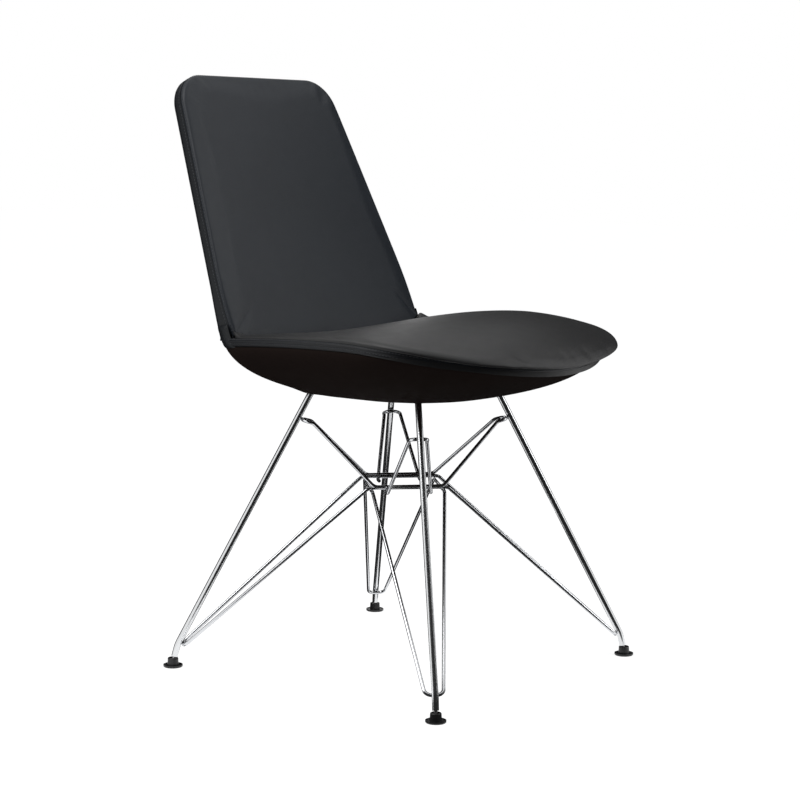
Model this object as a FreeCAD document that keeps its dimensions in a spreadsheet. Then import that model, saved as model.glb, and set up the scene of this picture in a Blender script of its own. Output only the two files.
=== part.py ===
import FreeCAD, Part
import Sketcher
import math
import os

# Dining side chair: a padded one-piece shell, covered in leather, on a base of bent chromed wire.
# Frame: +Z up, the sitter faces -Y, +X is the sitter's left. The origin is on the floor, under the
# middle of the chair's outline.

os.makedirs("parts", exist_ok=True)
doc = FreeCAD.newDocument("padded_shell_chair")
V = FreeCAD.Vector
UP = V(0, 0, 1)

# Driving sizes, in millimetres and degrees. Heights are above the floor, and depths are measured
# forwards or backwards from the axis of the wire base.
DRIVING = [
    ("glide_spacing_across", 460, "glide centre to glide centre, left to right"),
    ("glide_spacing_deep", 452, "glide centre to glide centre, front to rear"),
    ("leg_diameter", 9, "leg rod"),
    ("leg_foot_lean", 14.5, "lean of the leg's last stretch from upright"),
    ("leg_foot_gap", 8.6, "end of the rod above the centre of the ball"),
    ("leg_knee_height", 31.5, "corner of the knee above the glide"),
    ("leg_knee_radius", 60, "bend of the knee"),
    ("leg_top_reach", 128.7, "upright stub, from the axis of the base"),
    ("leg_shoulder_height", 388, "corner of the bend inside the seat"),
    ("leg_shoulder_radius", 20, "bend inside the seat"),
    ("wire_diameter", 5, "brace wire"),
    ("weld_gap", 0.15, "clearance between rods that are welded together"),
    ("ring_half_across", 72.6, "right and left corners of the brace ring"),
    ("ring_half_deep", 69.2, "front and rear corners of the brace ring"),
    ("ring_height", 256, "the ring's wires between front-left and rear-right leg"),
    ("ring_step", 5.3, "drop of the ring's other wires, which cross below"),
    ("ring_overshoot", 5, "level stretch of a wire past the crossing"),
    ("ring_bend", 12, "bend of a wire where it leaves the ring"),
    ("upper_ring_rise", 2.2, "upper wire above the lower one in the ring"),
    ("upper_ring_inset", 2, "upper wire's bends, inwards of the ring's corners"),
    ("lower_weld_height", 35, "leg's height where a lower wire turns round it"),
    ("upper_weld_height", 348.5, "the same for the upper wires"),
    ("hairpin_weld_height", 340, "the same for the hairpins"),
    ("turn_half_width", 11.9, "half the width of a turn round a leg"),
    ("turn_radius", 9.4, "bend at each side of a turn"),
    ("upper_reach", 14, "stretch of an upper wire from its turn to its downward bend"),
    ("upper_droop", 15, "fall of that stretch from level"),
    ("upper_bend", 8, "bend at the end of that stretch"),
    ("hairpin_inset", 20, "hairpin's foot, along the ring from its corner"),
    ("hairpin_foot_drop", 6, "hairpin's foot below the ring's wires"),
    ("hairpin_foot_start", 9, "bend of the foot, outwards of the ring's lower wire"),
    ("hairpin_foot_end", 3, "end of the foot, inwards of that wire"),
    ("hairpin_bend", 5, "bend of the foot"),
    ("ball_diameter", 8, "ball end of the leg"),
    ("ball_height", 6.5, "centre of the ball"),
    ("stud_neck", 5, "neck between ball and rod"),
    ("glide_clearance", 0.06, "radial running clearance of the ball"),
    ("glide_socket_wrap", 27.5, "how far the socket closes over the ball's equator"),
    ("glide_mouth_clearance", 0.35, "neck in the glide's mouth at full tilt"),
    ("glide_tilt_down", 3, "how far a glide's outer edge tilts down"),
    ("glide_diameter", 27, "brim"),
    ("glide_brim", 2.4, "thickness of the brim"),
    ("glide_lip_rise", 0.9, "upturned lip of the brim"),
    ("glide_lip_width", 1.2, "the same lip"),
    ("glide_edge", 1, "chamfer under the brim"),
    ("glide_height", 13, "top of the dome"),
    ("glide_dome_base", 15.8, "dome at the brim"),
    ("glide_dome_top", 14.6, "dome at its shoulder"),
    ("glide_round", 1.6, "rounding of the dome's shoulder"),
    ("plate_bottom", 398, "underside of the mounting plate"),
    ("plate_thickness", 4, "mounting plate"),
    ("plate_margin", 14, "mounting plate past the axes of the legs"),
    ("plate_corner", 14, "corner rounding of the plate"),
    ("screw_spacing", 120, "mounting screws, in a square"),
    ("screw_diameter", 6, "mounting screw"),
    ("screw_head_diameter", 11, "screw's head"),
    ("screw_head_height", 3.5, "screw's head"),
    ("screw_hole_clearance", 0.4, "radial, screw in the plate and washer"),
    ("screw_grip", 1.2, "screw's end past the board"),
    ("thread_clearance", 0.05, "radial, screw in its nut"),
    ("washer_thickness", 1.2, "washer under the screw's head"),
    ("washer_diameter", 14, "washer"),
    ("nut_barrel", 8, "barrel of the tee nut"),
    ("nut_hole_clearance", 0.1, "radial, barrel in the board"),
    ("nut_flange", 19, "flange of the tee nut"),
    ("nut_flange_thickness", 1.5, "flange of the tee nut"),
    ("soft_gap", 0.3, "clearance between a soft piece and its neighbours"),
    ("board_thickness", 8, "moulded board"),
    ("board_half_width", 138, "moulded board"),
    ("board_front", 165, "front edge of the board, ahead of the base's axis"),
    ("board_front_corner", 90, "front corners of the board"),
    ("board_top_corner", 42, "top corners of the board"),
    ("board_bend", 38, "inner bend of the board between seat and back"),
    ("board_inset_top", 14, "top edge of the board below the top of the back"),
    ("hull_bottom", 380, "underside of the seat"),
    ("hull_full_height", 475, "height where the seat's outline is full"),
    ("hull_foot_half_width", 100, "flat underside"),
    ("hull_foot_front", 115, "flat underside, ahead of the base's axis"),
    ("hull_foot_widest", 20, "flat underside at its widest, ahead of the base's axis"),
    ("hull_foot_rear", 115, "flat underside, behind the base's axis"),
    ("hull_foot_front_corner", 80, "flat underside, front corners"),
    ("hull_foot_rear_corner", 70, "flat underside, rear corners"),
    ("hull_side_fullness", 2.5, "exponent of the hull's curve at the sides"),
    ("hull_front_fullness", 3.3, "the same at the front"),
    ("hull_rear_fullness", 5, "the same at the rear"),
    ("hull_widest_advance", 0.8, "exponent of the widest place's way forwards up the hull"),
    ("seat_half_width", 240, "seat at its widest"),
    ("seat_widest", 120, "widest place, ahead of the base's axis"),
    ("seat_front", 277, "front edge of the seat, ahead of the base's axis"),
    ("seat_rear", 166, "rear edge of the seat, behind the base's axis"),
    ("seat_front_corner", 140, "front corners of the seat"),
    ("seat_rear_corner", 12, "rear corners of the seat"),
    ("seat_back_half_width", 207, "seat where it meets the back"),
    ("seat_wall", 23, "padded wall of the underside, and the band above it"),
    ("band_height", 11.5, "leather band round the seat"),
    ("seam_peak", 472, "seam between band and cushion at its highest"),
    ("seam_peak_depth", 65, "that place, ahead of the base's axis"),
    ("seam_rear", 460, "the same seam at the rear"),
    ("seam_front", 434, "the same seam at the front"),
    ("rim_rise", 7, "edge of the seat cushion above the seam"),
    ("rim_curl", 12, "further rise of that edge where it meets the back"),
    ("curl_start", 40, "where that rise begins, behind the base's axis"),
    ("crown_height", 499, "seat cushion at its highest"),
    ("crown_depth", 130, "that place, ahead of the base's axis"),
    ("nose_fullness", 2.6, "exponent of the cushion's curve down to its front edge"),
    ("recline", 22.5, "lean of the back from upright"),
    ("crease_depth", 121, "front of the back at the crease, behind the base's axis"),
    ("crease_height", 449, "crease between seat and back, at the middle"),
    ("crease_tuck", 10, "back cushion below the crease"),
    ("back_length", 402, "front of the back from the crease to the top edge"),
    ("back_half_foot", 207.5, "back at its foot"),
    ("back_shoulder", 81, "where the sides start to draw in, from the crease"),
    ("back_shoulder_radius", 500, "bend of the side there"),
    ("back_half_top", 161.5, "back at the top edge, before its corners are rounded"),
    ("back_corner", 52, "top corners of the back"),
    ("back_pad", 12, "thickness of the back cushion"),
    ("back_crown", 3, "crown of the back cushion"),
    ("back_depth_top", 27.6, "whole back, upper part"),
    ("back_depth_foot", 36, "whole back at its foot"),
    ("back_flare", 110, "length over which the back thickens to its foot"),
]

sheet = doc.addObject("Spreadsheet::Sheet", "Sizes")
for row, (alias, number, meaning) in enumerate(DRIVING, start=1):
    sheet.set("A%d" % row, alias)
    sheet.set("B%d" % row, str(number))
    sheet.setAlias("B%d" % row, alias)
    sheet.set("C%d" % row, meaning)
doc.recompute()

pieces = []


def size(alias):
    return float(sheet.get(alias))


def value(expression):
    """Number that an expression on the sheet gives now."""
    return float(sheet.evalExpression(str(expression)))


def name_piece(obj, label):
    obj.Label = label
    pieces.append(obj)
    return obj


def feature(label, shape):
    obj = doc.addObject("Part::Feature", label)
    obj.Shape = shape
    return name_piece(obj, label)


# Outlines and rods

def rounded(points, radii, closed=False):
    """Straight runs joined by tangent arcs; each corner has its own radius, 0 for a sharp one."""
    count = len(points)
    corners = []
    for i, (point, radius) in enumerate(zip(points, radii)):
        is_end = not closed and i in (0, count - 1)
        if is_end or radius <= 0:
            corners.append((point, None, point))
            continue
        back = (points[i - 1] - point).normalize()
        ahead = (points[(i + 1) % count] - point).normalize()
        half_angle = back.getAngle(ahead) / 2
        trim = radius / math.tan(half_angle)
        bisector = (back + ahead).normalize()
        middle = point + bisector * (radius / math.sin(half_angle) - radius)
        corners.append((point + back * trim, middle, point + ahead * trim))
    edges = []
    for i, (start, middle, end) in enumerate(corners):
        if middle:
            edges.append(Part.Arc(start, middle, end).toShape())
        if i < count - 1 or closed:
            following = corners[(i + 1) % count][0]
            if end.distanceToPoint(following) > 1e-6:
                edges.append(Part.LineSegment(end, following).toShape())
    return edges


def rod(points, radii, diameter):
    """Round wire bent along a path; its volume is compared with section times length."""
    path = Part.Wire(rounded(points, radii))
    circle = Part.Circle(points[0], points[1] - points[0], diameter / 2)
    solid = path.makePipeShell([Part.Wire(circle.toShape())], True, False)
    expected = math.pi * diameter ** 2 / 4 * path.Length
    if abs(solid.Volume / expected - 1) > 0.002:
        raise ValueError("a bent rod overlaps itself or has lost a stretch")
    return solid


# Sketch helpers

def sketch_on(body, name, role):
    sketch = body.newObject("Sketcher::SketchObject", name)
    origin_plane = [part for part in body.Origin.OriginFeatures if part.Role == role][0]
    sketch.AttachmentSupport = [(origin_plane, "")]
    sketch.MapMode = "FlatFace"
    return sketch


def hold(sketch, kind, places, expression):
    """Dimension in a sketch that follows the sheet."""
    index = sketch.addConstraint(Sketcher.Constraint(kind, *places, value(expression)))
    if "Sizes." in str(expression):
        sketch.setExpression("Constraints[%d]" % index, expression)


def polygon(sketch, corners):
    """Closed outline whose corners are pairs of expressions."""
    points = [V(value(x), value(y), 0) for x, y in corners]
    first = sketch.GeometryCount
    count = len(points)
    for i in range(count):
        sketch.addGeometry(Part.LineSegment(points[i], points[(i + 1) % count]), False)
    for i in range(count):
        joined = (first + i, 2, first + (i + 1) % count, 1)
        sketch.addConstraint(Sketcher.Constraint("Coincident", *joined))
    for i, (x, y) in enumerate(corners):
        hold(sketch, "DistanceX", (first + i, 1), x)
        hold(sketch, "DistanceY", (first + i, 1), y)


# Legs: four bent rods, each drawn in the upright plane that runs outwards through its glide

foot_reach_text = "sqrt((Sizes.glide_spacing_across / 2) ^ 2 + (Sizes.glide_spacing_deep / 2) ^ 2)"
foot_reach = value(foot_reach_text)
foot_lean = math.radians(size("leg_foot_lean"))
knee_fall = size("leg_knee_height") - size("ball_height")
ball = V(foot_reach, 0, size("ball_height"))
foot_up = V(-math.sin(foot_lean), 0, math.cos(foot_lean))
rod_end = ball + foot_up * size("leg_foot_gap")
knee = ball + foot_up * (knee_fall / math.cos(foot_lean))
shoulder = V(size("leg_top_reach"), 0, size("leg_shoulder_height"))
rod_top = V(size("leg_top_reach"), 0, size("plate_bottom"))
LEG_PATH = [rod_top, shoulder, knee, rod_end]
LEG_BENDS = [0, size("leg_shoulder_radius"), size("leg_knee_radius"), 0]

# Direction up the long straight stretch, and square to it on the inner side
leg_up = (shoulder - knee).normalize()
leg_inner = V(-leg_up.z, 0, leg_up.x)

CORNERS = {
    "front_right": (-1, -1),
    "front_left": (1, -1),
    "rear_right": (-1, 1),
    "rear_left": (1, 1),
}


def turned(corner):
    """Rotation that swings the plane of the drawn leg round to a corner of the base."""
    side, end = CORNERS[corner]
    azimuth = math.atan2(end * size("glide_spacing_deep"), side * size("glide_spacing_across"))
    return FreeCAD.Rotation(UP, math.degrees(azimuth))


def add_arc(sketch, start, middle, end):
    """Arc drawn the way round that a sketch keeps; returns its number and whether it was reversed."""
    circle = Part.Arc(start, middle, end).toShape().Curve
    centre = circle.Center
    angles = [math.atan2(p.y - centre.y, p.x - centre.x) for p in (start, end)]
    is_reversed = (middle - start).cross(end - middle).z < 0
    if is_reversed:
        angles.reverse()
    round_circle = Part.Circle(centre, UP, circle.Radius)
    index = sketch.addGeometry(Part.ArcOfCircle(round_circle, *angles), False)
    return index, is_reversed


def draw_leg_path(sketch):
    """Stub, shoulder bend, long stretch, knee and foot, in the plane's own x and y."""
    flat = [V(p.x, p.z, 0) for p in LEG_PATH]
    ends = []
    numbers = []
    for edge in rounded(flat, LEG_BENDS):
        start, end = edge.valueAt(edge.FirstParameter), edge.valueAt(edge.LastParameter)
        if isinstance(edge.Curve, Part.Line):
            numbers.append(sketch.addGeometry(Part.LineSegment(start, end), False))
            ends.append((1, 2))
            continue
        middle = edge.valueAt((edge.FirstParameter + edge.LastParameter) / 2)
        number, is_reversed = add_arc(sketch, start, middle, end)
        numbers.append(number)
        ends.append((2, 1) if is_reversed else (1, 2))
    for i in range(len(numbers) - 1):
        joined = (numbers[i], ends[i][1], numbers[i + 1], ends[i + 1][0])
        sketch.addConstraint(Sketcher.Constraint("Tangent", *joined))
    stub, upper_bend, long_run, lower_bend, foot = numbers
    corner_points = []
    for corner, lines in ((flat[1], (stub, long_run)), (flat[2], (long_run, foot))):
        point = sketch.addGeometry(Part.Point(corner), True)
        for line in lines:
            sketch.addConstraint(Sketcher.Constraint("PointOnObject", point, 1, line))
        corner_points.append(point)
    across = "Sizes.leg_foot_gap * sin(Sizes.leg_foot_lean)"
    rise = "Sizes.leg_foot_gap * cos(Sizes.leg_foot_lean)"
    fall = "(Sizes.leg_knee_height - Sizes.ball_height) * tan(Sizes.leg_foot_lean)"
    sketch.addConstraint(Sketcher.Constraint("Vertical", stub))
    hold(sketch, "DistanceX", (stub, 1), "Sizes.leg_top_reach")
    hold(sketch, "DistanceY", (stub, 1), "Sizes.plate_bottom")
    hold(sketch, "DistanceY", (corner_points[0], 1), "Sizes.leg_shoulder_height")
    hold(sketch, "Radius", (upper_bend,), "Sizes.leg_shoulder_radius")
    hold(sketch, "Radius", (lower_bend,), "Sizes.leg_knee_radius")
    hold(sketch, "DistanceX", (corner_points[1], 1), foot_reach_text + " - " + fall)
    hold(sketch, "DistanceY", (corner_points[1], 1), "Sizes.leg_knee_height")
    hold(sketch, "DistanceX", (foot, 2), foot_reach_text + " - " + across)
    hold(sketch, "DistanceY", (foot, 2), "Sizes.ball_height + " + rise)


def make_leg(corner):
    body = doc.addObject("PartDesign::Body", "leg_" + corner)
    path = sketch_on(body, "path_" + corner, "XZ_Plane")
    draw_leg_path(path)
    section = sketch_on(body, "section_" + corner, "XY_Plane")
    section.setExpression("AttachmentOffset.Base.z", "Sizes.plate_bottom")
    section.addGeometry(Part.Circle(V(rod_top.x, 0, 0), UP, size("leg_diameter") / 2), False)
    section.addConstraint(Sketcher.Constraint("PointOnObject", 0, 3, -1))
    hold(section, "DistanceX", (0, 3), "Sizes.leg_top_reach")
    hold(section, "Diameter", (0,), "Sizes.leg_diameter")
    doc.recompute()
    pipe = body.newObject("PartDesign::AdditivePipe", "rod_" + corner)
    pipe.Profile = section
    pipe.Spine = (path, [])
    doc.recompute()
    body.Placement = FreeCAD.Placement(V(), turned(corner))
    return name_piece(body, "leg_" + corner)


# Ball studs: the ball end welded under each leg

def make_ball_stud(corner):
    sphere = doc.addObject("Part::Sphere", "ball_" + corner)
    sphere.setExpression("Radius", "Sizes.ball_diameter / 2")
    neck = doc.addObject("Part::Cylinder", "neck_" + corner)
    neck.setExpression("Radius", "Sizes.stud_neck / 2")
    neck.setExpression("Height", "Sizes.leg_foot_gap")
    stud = doc.addObject("Part::Fuse", "ball_stud_" + corner)
    stud.Base = sphere
    stud.Tool = neck
    stud.Refine = False
    leaning = FreeCAD.Rotation(V(0, 1, 0), -size("leg_foot_lean"))
    swing = turned(corner)
    stud.Placement = FreeCAD.Placement(swing.multVec(ball), swing.multiply(leaning))
    return name_piece(stud, "ball_stud_" + corner)


# Glides: a brimmed dome with a ball socket, turned in one piece

def make_glide(corner):
    body = doc.addObject("PartDesign::Body", "glide_" + corner)
    outline = sketch_on(body, "outline_" + corner, "XZ_Plane")
    brim_radius = "Sizes.glide_diameter / 2"
    lip_top = "Sizes.glide_brim + Sizes.glide_lip_rise"
    polygon(outline, [
        ("0", "0"),
        (brim_radius + " - Sizes.glide_edge", "0"),
        (brim_radius, "Sizes.glide_edge"),
        (brim_radius, lip_top),
        (brim_radius + " - Sizes.glide_lip_width", lip_top),
        (brim_radius + " - 2 * Sizes.glide_lip_width", "Sizes.glide_brim"),
        ("Sizes.glide_dome_base / 2", "Sizes.glide_brim"),
        ("Sizes.glide_dome_top / 2", "Sizes.glide_height"),
        ("0", "Sizes.glide_height"),
    ])
    doc.recompute()
    turned_body = body.newObject("PartDesign::Revolution", "turned_" + corner)
    turned_body.Profile = outline
    turned_body.ReferenceAxis = (outline, ["V_Axis"])
    turned_body.Angle = 360
    doc.recompute()
    shoulder_edges = []
    for number, edge in enumerate(turned_body.Shape.Edges, start=1):
        is_circle = isinstance(edge.Curve, Part.Circle)
        if is_circle and abs(edge.Curve.Center.z - size("glide_height")) < 1e-6:
            shoulder_edges.append("Edge%d" % number)
    shoulder_round = body.newObject("PartDesign::Fillet", "shoulder_" + corner)
    shoulder_round.Base = (turned_body, shoulder_edges)
    shoulder_round.setExpression("Radius", "Sizes.glide_round")
    doc.recompute()
    socket = sketch_on(body, "socket_" + corner, "XZ_Plane")
    draw_socket(socket)
    doc.recompute()
    groove = body.newObject("PartDesign::Groove", "bore_" + corner)
    groove.Profile = socket
    groove.ReferenceAxis = (socket, ["V_Axis"])
    groove.Angle = 360
    doc.recompute()
    if groove.Shape.Volume > shoulder_round.Shape.Volume - size("ball_diameter") ** 3 / 4:
        raise ValueError("the socket was not cut")
    body.Placement = FreeCAD.Placement(turned(corner).multVec(V(foot_reach, 0, 0)), turned(corner))
    return name_piece(body, "glide_" + corner)


def draw_socket(sketch):
    """Half section of the ball socket and the conical mouth above it."""
    socket_radius = "(Sizes.ball_diameter / 2 + Sizes.glide_clearance)"
    throat_x = socket_radius + " * cos(Sizes.glide_socket_wrap)"
    throat_y = "Sizes.ball_height + " + socket_radius + " * sin(Sizes.glide_socket_wrap)"
    lean = "(Sizes.leg_foot_lean + Sizes.glide_tilt_down)"
    mouth_rise = "(Sizes.glide_height + Sizes.glide_round - Sizes.ball_height)"
    mouth_x = "Sizes.stud_neck / 2 / cos(%s) + %s * tan(%s) + Sizes.glide_mouth_clearance"
    mouth_x = mouth_x % (lean, mouth_rise, lean)
    mouth_y = "Sizes.glide_height + Sizes.glide_round"
    centre = V(0, size("ball_height"), 0)
    radius = value(socket_radius)
    wrap = math.radians(size("glide_socket_wrap"))
    throat = V(value(throat_x), value(throat_y), 0)
    mouth = V(value(mouth_x), value(mouth_y), 0)
    top = V(0, mouth.y, 0)
    bottom = centre - V(0, radius, 0)
    sketch.addGeometry(Part.ArcOfCircle(Part.Circle(centre, UP, radius), -math.pi / 2, wrap), False)
    sketch.addGeometry(Part.LineSegment(throat, mouth), False)
    sketch.addGeometry(Part.LineSegment(mouth, top), False)
    sketch.addGeometry(Part.LineSegment(top, bottom), False)
    for i in range(4):
        joined = (i, 2, (i + 1) % 4, 1)
        sketch.addConstraint(Sketcher.Constraint("Coincident", *joined))
    sketch.addConstraint(Sketcher.Constraint("PointOnObject", 0, 3, -2))
    sketch.addConstraint(Sketcher.Constraint("PointOnObject", 3, 1, -2))
    sketch.addConstraint(Sketcher.Constraint("PointOnObject", 3, 2, -2))
    sketch.addConstraint(Sketcher.Constraint("Horizontal", 2))
    hold(sketch, "DistanceY", (0, 3), "Sizes.ball_height")
    hold(sketch, "Radius", (0,), socket_radius)
    hold(sketch, "DistanceY", (1, 1), throat_y)
    hold(sketch, "DistanceX", (1, 2), mouth_x)
    hold(sketch, "DistanceY", (1, 2), mouth_y)


for corner in CORNERS:
    make_leg(corner)
    make_ball_stud(corner)
    make_glide(corner)

# Brace wires. Two wires share each side of the ring: those of the front-left and rear-right legs lie
# on top, and those of the front-right and rear-left legs cross under them at the ring's corners.

wire = size("wire_diameter")
touch = wire + size("weld_gap")
leg_touch = (size("leg_diameter") + wire) / 2 + size("weld_gap")
RING = {
    "right": V(-size("ring_half_across"), 0, 0),
    "front": V(0, -size("ring_half_deep"), 0),
    "left": V(size("ring_half_across"), 0, 0),
    "rear": V(0, size("ring_half_deep"), 0),
}


def on_leg(height):
    """Axis of the drawn leg's long stretch at a height."""
    return knee + leg_up * ((height - knee.z) / leg_up.z)


def turn_round(corner, height, towards):
    """Middle and side corner of a wire's turn round a leg, on the side that faces a ring corner."""
    swing = turned(corner)
    middle = swing.multVec(on_leg(height) + leg_inner * leg_touch)
    sideways = swing.multVec(V(0, 1, 0))
    if sideways.dot(towards - middle) < 0:
        sideways = sideways * -1
    return middle, middle + sideways * size("turn_half_width")


def lower_brace(label, start, first, second, end, height):
    """Lower wire: round one leg, up to the ring, along one side of it, and down to the next leg."""
    along = (RING[second] - RING[first]).normalize() * size("ring_overshoot")
    level = UP * height
    ring_start = RING[first] - along + level
    ring_end = RING[second] + along + level
    start_turn = turn_round(start, size("lower_weld_height"), ring_start)
    end_turn = turn_round(end, size("lower_weld_height"), ring_end)
    points = [*start_turn, ring_start, ring_end, *reversed(end_turn)]
    turn, bend = size("turn_radius"), size("ring_bend")
    feature(label, rod(points, [0, turn, bend, bend, turn, 0], wire))


def arm_end(corner, side_corner):
    """End of the nearly level stretch that an upper wire has beside its leg."""
    droop = math.radians(size("upper_droop"))
    inwards = turned(corner).multVec(V(-math.cos(droop), 0, -math.sin(droop)))
    return side_corner + inwards * size("upper_reach")


def upper_brace(label, start, first, second, end):
    """Upper wire: from leg to leg, lying outside the lower wire along one side of the ring."""
    beside = (touch ** 2 - size("upper_ring_rise") ** 2) ** 0.5
    along = (RING[second] - RING[first]).normalize()
    outwards = (RING[first] + RING[second]).normalize()
    outwards = (outwards - along * outwards.dot(along)).normalize() * beside
    level = UP * (size("ring_height") + size("upper_ring_rise"))
    inset = along * size("upper_ring_inset")
    ring_start = RING[first] + inset + outwards + level
    ring_end = RING[second] - inset + outwards + level
    start_turn = turn_round(start, size("upper_weld_height"), ring_start)
    end_turn = turn_round(end, size("upper_weld_height"), ring_end)
    start_arm = arm_end(start, start_turn[1])
    end_arm = arm_end(end, end_turn[1])
    points = [*start_turn, start_arm, ring_start, ring_end, end_arm, *reversed(end_turn)]
    turn, arm, bend = size("turn_radius"), size("upper_bend"), size("ring_bend")
    feature(label, rod(points, [0, turn, arm, bend, bend, arm, turn, 0], wire))


def hairpin(label, corner, first, second):
    """Hairpin: round one leg and down to two feet that hook under one side of the ring."""
    along = (RING[second] - RING[first]).normalize()
    outwards = RING[first] + RING[second]
    outwards = (outwards - along * outwards.dot(along)).normalize()
    foot_level = UP * (size("ring_height") - size("hairpin_foot_drop"))
    halves = []
    for ring_corner, direction in ((first, along), (second, along * -1)):
        crossing = RING[ring_corner] + direction * size("hairpin_inset") + foot_level
        foot_bend = crossing + outwards * size("hairpin_foot_start")
        foot_end = crossing - outwards * size("hairpin_foot_end")
        middle, side_corner = turn_round(corner, size("hairpin_weld_height"), crossing)
        halves.append([foot_end, foot_bend, arm_end(corner, side_corner), side_corner])
    points = halves[0] + halves[1][::-1]
    turn, arm, bend = size("turn_radius"), size("upper_bend"), size("hairpin_bend")
    feature(label, rod(points, [0, bend, arm, turn, turn, arm, bend, 0], wire))


top_level = size("ring_height")
under_level = size("ring_height") - size("ring_step")
lower_brace("lower_brace_front_run", "rear_right", "right", "front", "front_left", top_level)
lower_brace("lower_brace_back_run", "rear_right", "rear", "left", "front_left", top_level)
lower_brace("lower_brace_right_run", "front_right", "right", "rear", "rear_left", under_level)
lower_brace("lower_brace_left_run", "front_right", "front", "left", "rear_left", under_level)
upper_brace("upper_brace_front_run", "rear_right", "right", "front", "front_left")
upper_brace("upper_brace_back_run", "rear_right", "rear", "left", "front_left")
hairpin("hairpin_front_right", "front_right", "right", "front")
hairpin("hairpin_rear_left", "rear_left", "rear", "left")

# Mounting plate, with its screws, washers and tee nuts

plate_top = size("plate_bottom") + size("plate_thickness")
board_top = plate_top + size("board_thickness")
screw_places = [V(x, y, 0) * (size("screw_spacing") / 2) for x in (-1, 1) for y in (-1, 1)]


def make_mount_plate():
    body = doc.addObject("PartDesign::Body", "mount_plate")
    outline = sketch_on(body, "plate_outline", "XY_Plane")
    outline.setExpression("AttachmentOffset.Base.z", "Sizes.plate_bottom")
    reach = "Sizes.leg_top_reach * Sizes.glide_spacing_%s / 2 / " + foot_reach_text
    half_x = "(" + reach % "across" + " + Sizes.plate_margin)"
    half_y = "(" + reach % "deep" + " + Sizes.plate_margin)"
    polygon(outline, [
        ("-" + half_x, "-" + half_y),
        (half_x, "-" + half_y),
        (half_x, half_y),
        ("-" + half_x, half_y),
    ])
    doc.recompute()
    pad = body.newObject("PartDesign::Pad", "plate")
    pad.Profile = outline
    pad.setExpression("Length", "Sizes.plate_thickness")
    doc.recompute()
    upright = []
    for number, edge in enumerate(pad.Shape.Edges, start=1):
        if abs(edge.tangentAt(edge.FirstParameter).z) > 0.9:
            upright.append("Edge%d" % number)
    corners = body.newObject("PartDesign::Fillet", "plate_corners")
    corners.Base = (pad, upright)
    corners.setExpression("Radius", "Sizes.plate_corner")
    doc.recompute()
    holes = sketch_on(body, "plate_holes", "XY_Plane")
    holes.setExpression("AttachmentOffset.Base.z", "Sizes.plate_bottom")
    hole_radius = size("screw_diameter") / 2 + size("screw_hole_clearance")
    for number, place in enumerate(screw_places):
        holes.addGeometry(Part.Circle(place, UP, hole_radius), False)
        sides = ["-" if place.x < 0 else "", "-" if place.y < 0 else ""]
        hold(holes, "DistanceX", (number, 3), sides[0] + "Sizes.screw_spacing / 2")
        hold(holes, "DistanceY", (number, 3), sides[1] + "Sizes.screw_spacing / 2")
        hold(holes, "Radius", (number,), "Sizes.screw_diameter / 2 + Sizes.screw_hole_clearance")
    doc.recompute()
    drilled = body.newObject("PartDesign::Pocket", "drilled")
    drilled.Profile = holes
    drilled.setExpression("Length", "Sizes.plate_thickness")
    drilled.Reversed = True
    doc.recompute()
    removed = corners.Shape.Volume - drilled.Shape.Volume
    if removed < 4 * math.pi * hole_radius ** 2 * size("plate_thickness") * 0.999:
        raise ValueError("the plate's holes were not cut")
    return name_piece(body, "mount_plate")


def cylinder(name, radius, bottom, height, place):
    obj = doc.addObject("Part::Cylinder", name)
    obj.setExpression("Radius", radius)
    obj.setExpression("Height", height)
    obj.Placement.Base = place
    obj.setExpression("Placement.Base.z", bottom)
    return obj


def joined(kind, name, base, tool):
    obj = doc.addObject(kind, name)
    obj.Base = base
    obj.Tool = tool
    return obj


def group(label, members):
    obj = doc.addObject("Part::Compound", label)
    obj.Links = members
    return name_piece(obj, label)


def make_fasteners():
    washer_bottom = "Sizes.plate_bottom - Sizes.washer_thickness"
    head_bottom = washer_bottom + " - Sizes.screw_head_height"
    top_of_plate = "Sizes.plate_bottom + Sizes.plate_thickness"
    top_of_board = top_of_plate + " + Sizes.board_thickness"
    shank_length = "Sizes.washer_thickness + Sizes.plate_thickness + Sizes.board_thickness"
    bore = "Sizes.screw_diameter / 2 + Sizes.%s"
    screws, washers, nuts = [], [], []
    for number, place in enumerate(screw_places):
        head = cylinder("head_%d" % number, "Sizes.screw_head_diameter / 2", head_bottom,
                        "Sizes.screw_head_height", place)
        shank = cylinder("shank_%d" % number, "Sizes.screw_diameter / 2", washer_bottom,
                         shank_length + " + Sizes.screw_grip", place)
        screws.append(joined("Part::Fuse", "screw_%d" % number, head, shank))
        disc = cylinder("disc_%d" % number, "Sizes.washer_diameter / 2", washer_bottom,
                        "Sizes.washer_thickness", place)
        eye = cylinder("eye_%d" % number, bore % "screw_hole_clearance", washer_bottom,
                       "Sizes.washer_thickness", place)
        washers.append(joined("Part::Cut", "washer_%d" % number, disc, eye))
        barrel = cylinder("barrel_%d" % number, "Sizes.nut_barrel / 2", top_of_plate,
                          "Sizes.board_thickness + Sizes.nut_flange_thickness", place)
        flange = cylinder("flange_%d" % number, "Sizes.nut_flange / 2", top_of_board,
                          "Sizes.nut_flange_thickness", place)
        thread = cylinder("thread_%d" % number, bore % "thread_clearance", top_of_plate,
                          "Sizes.board_thickness + Sizes.nut_flange_thickness", place)
        nut = joined("Part::Fuse", "nut_%d" % number, barrel, flange)
        nuts.append(joined("Part::Cut", "tapped_%d" % number, nut, thread))
    group("mount_screws", screws)
    group("washers", washers)
    group("tee_nuts", nuts)


make_mount_plate()
make_fasteners()

# Lines of the back. Its own axes are x, up the panel from the crease, and forwards out of it.

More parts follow.
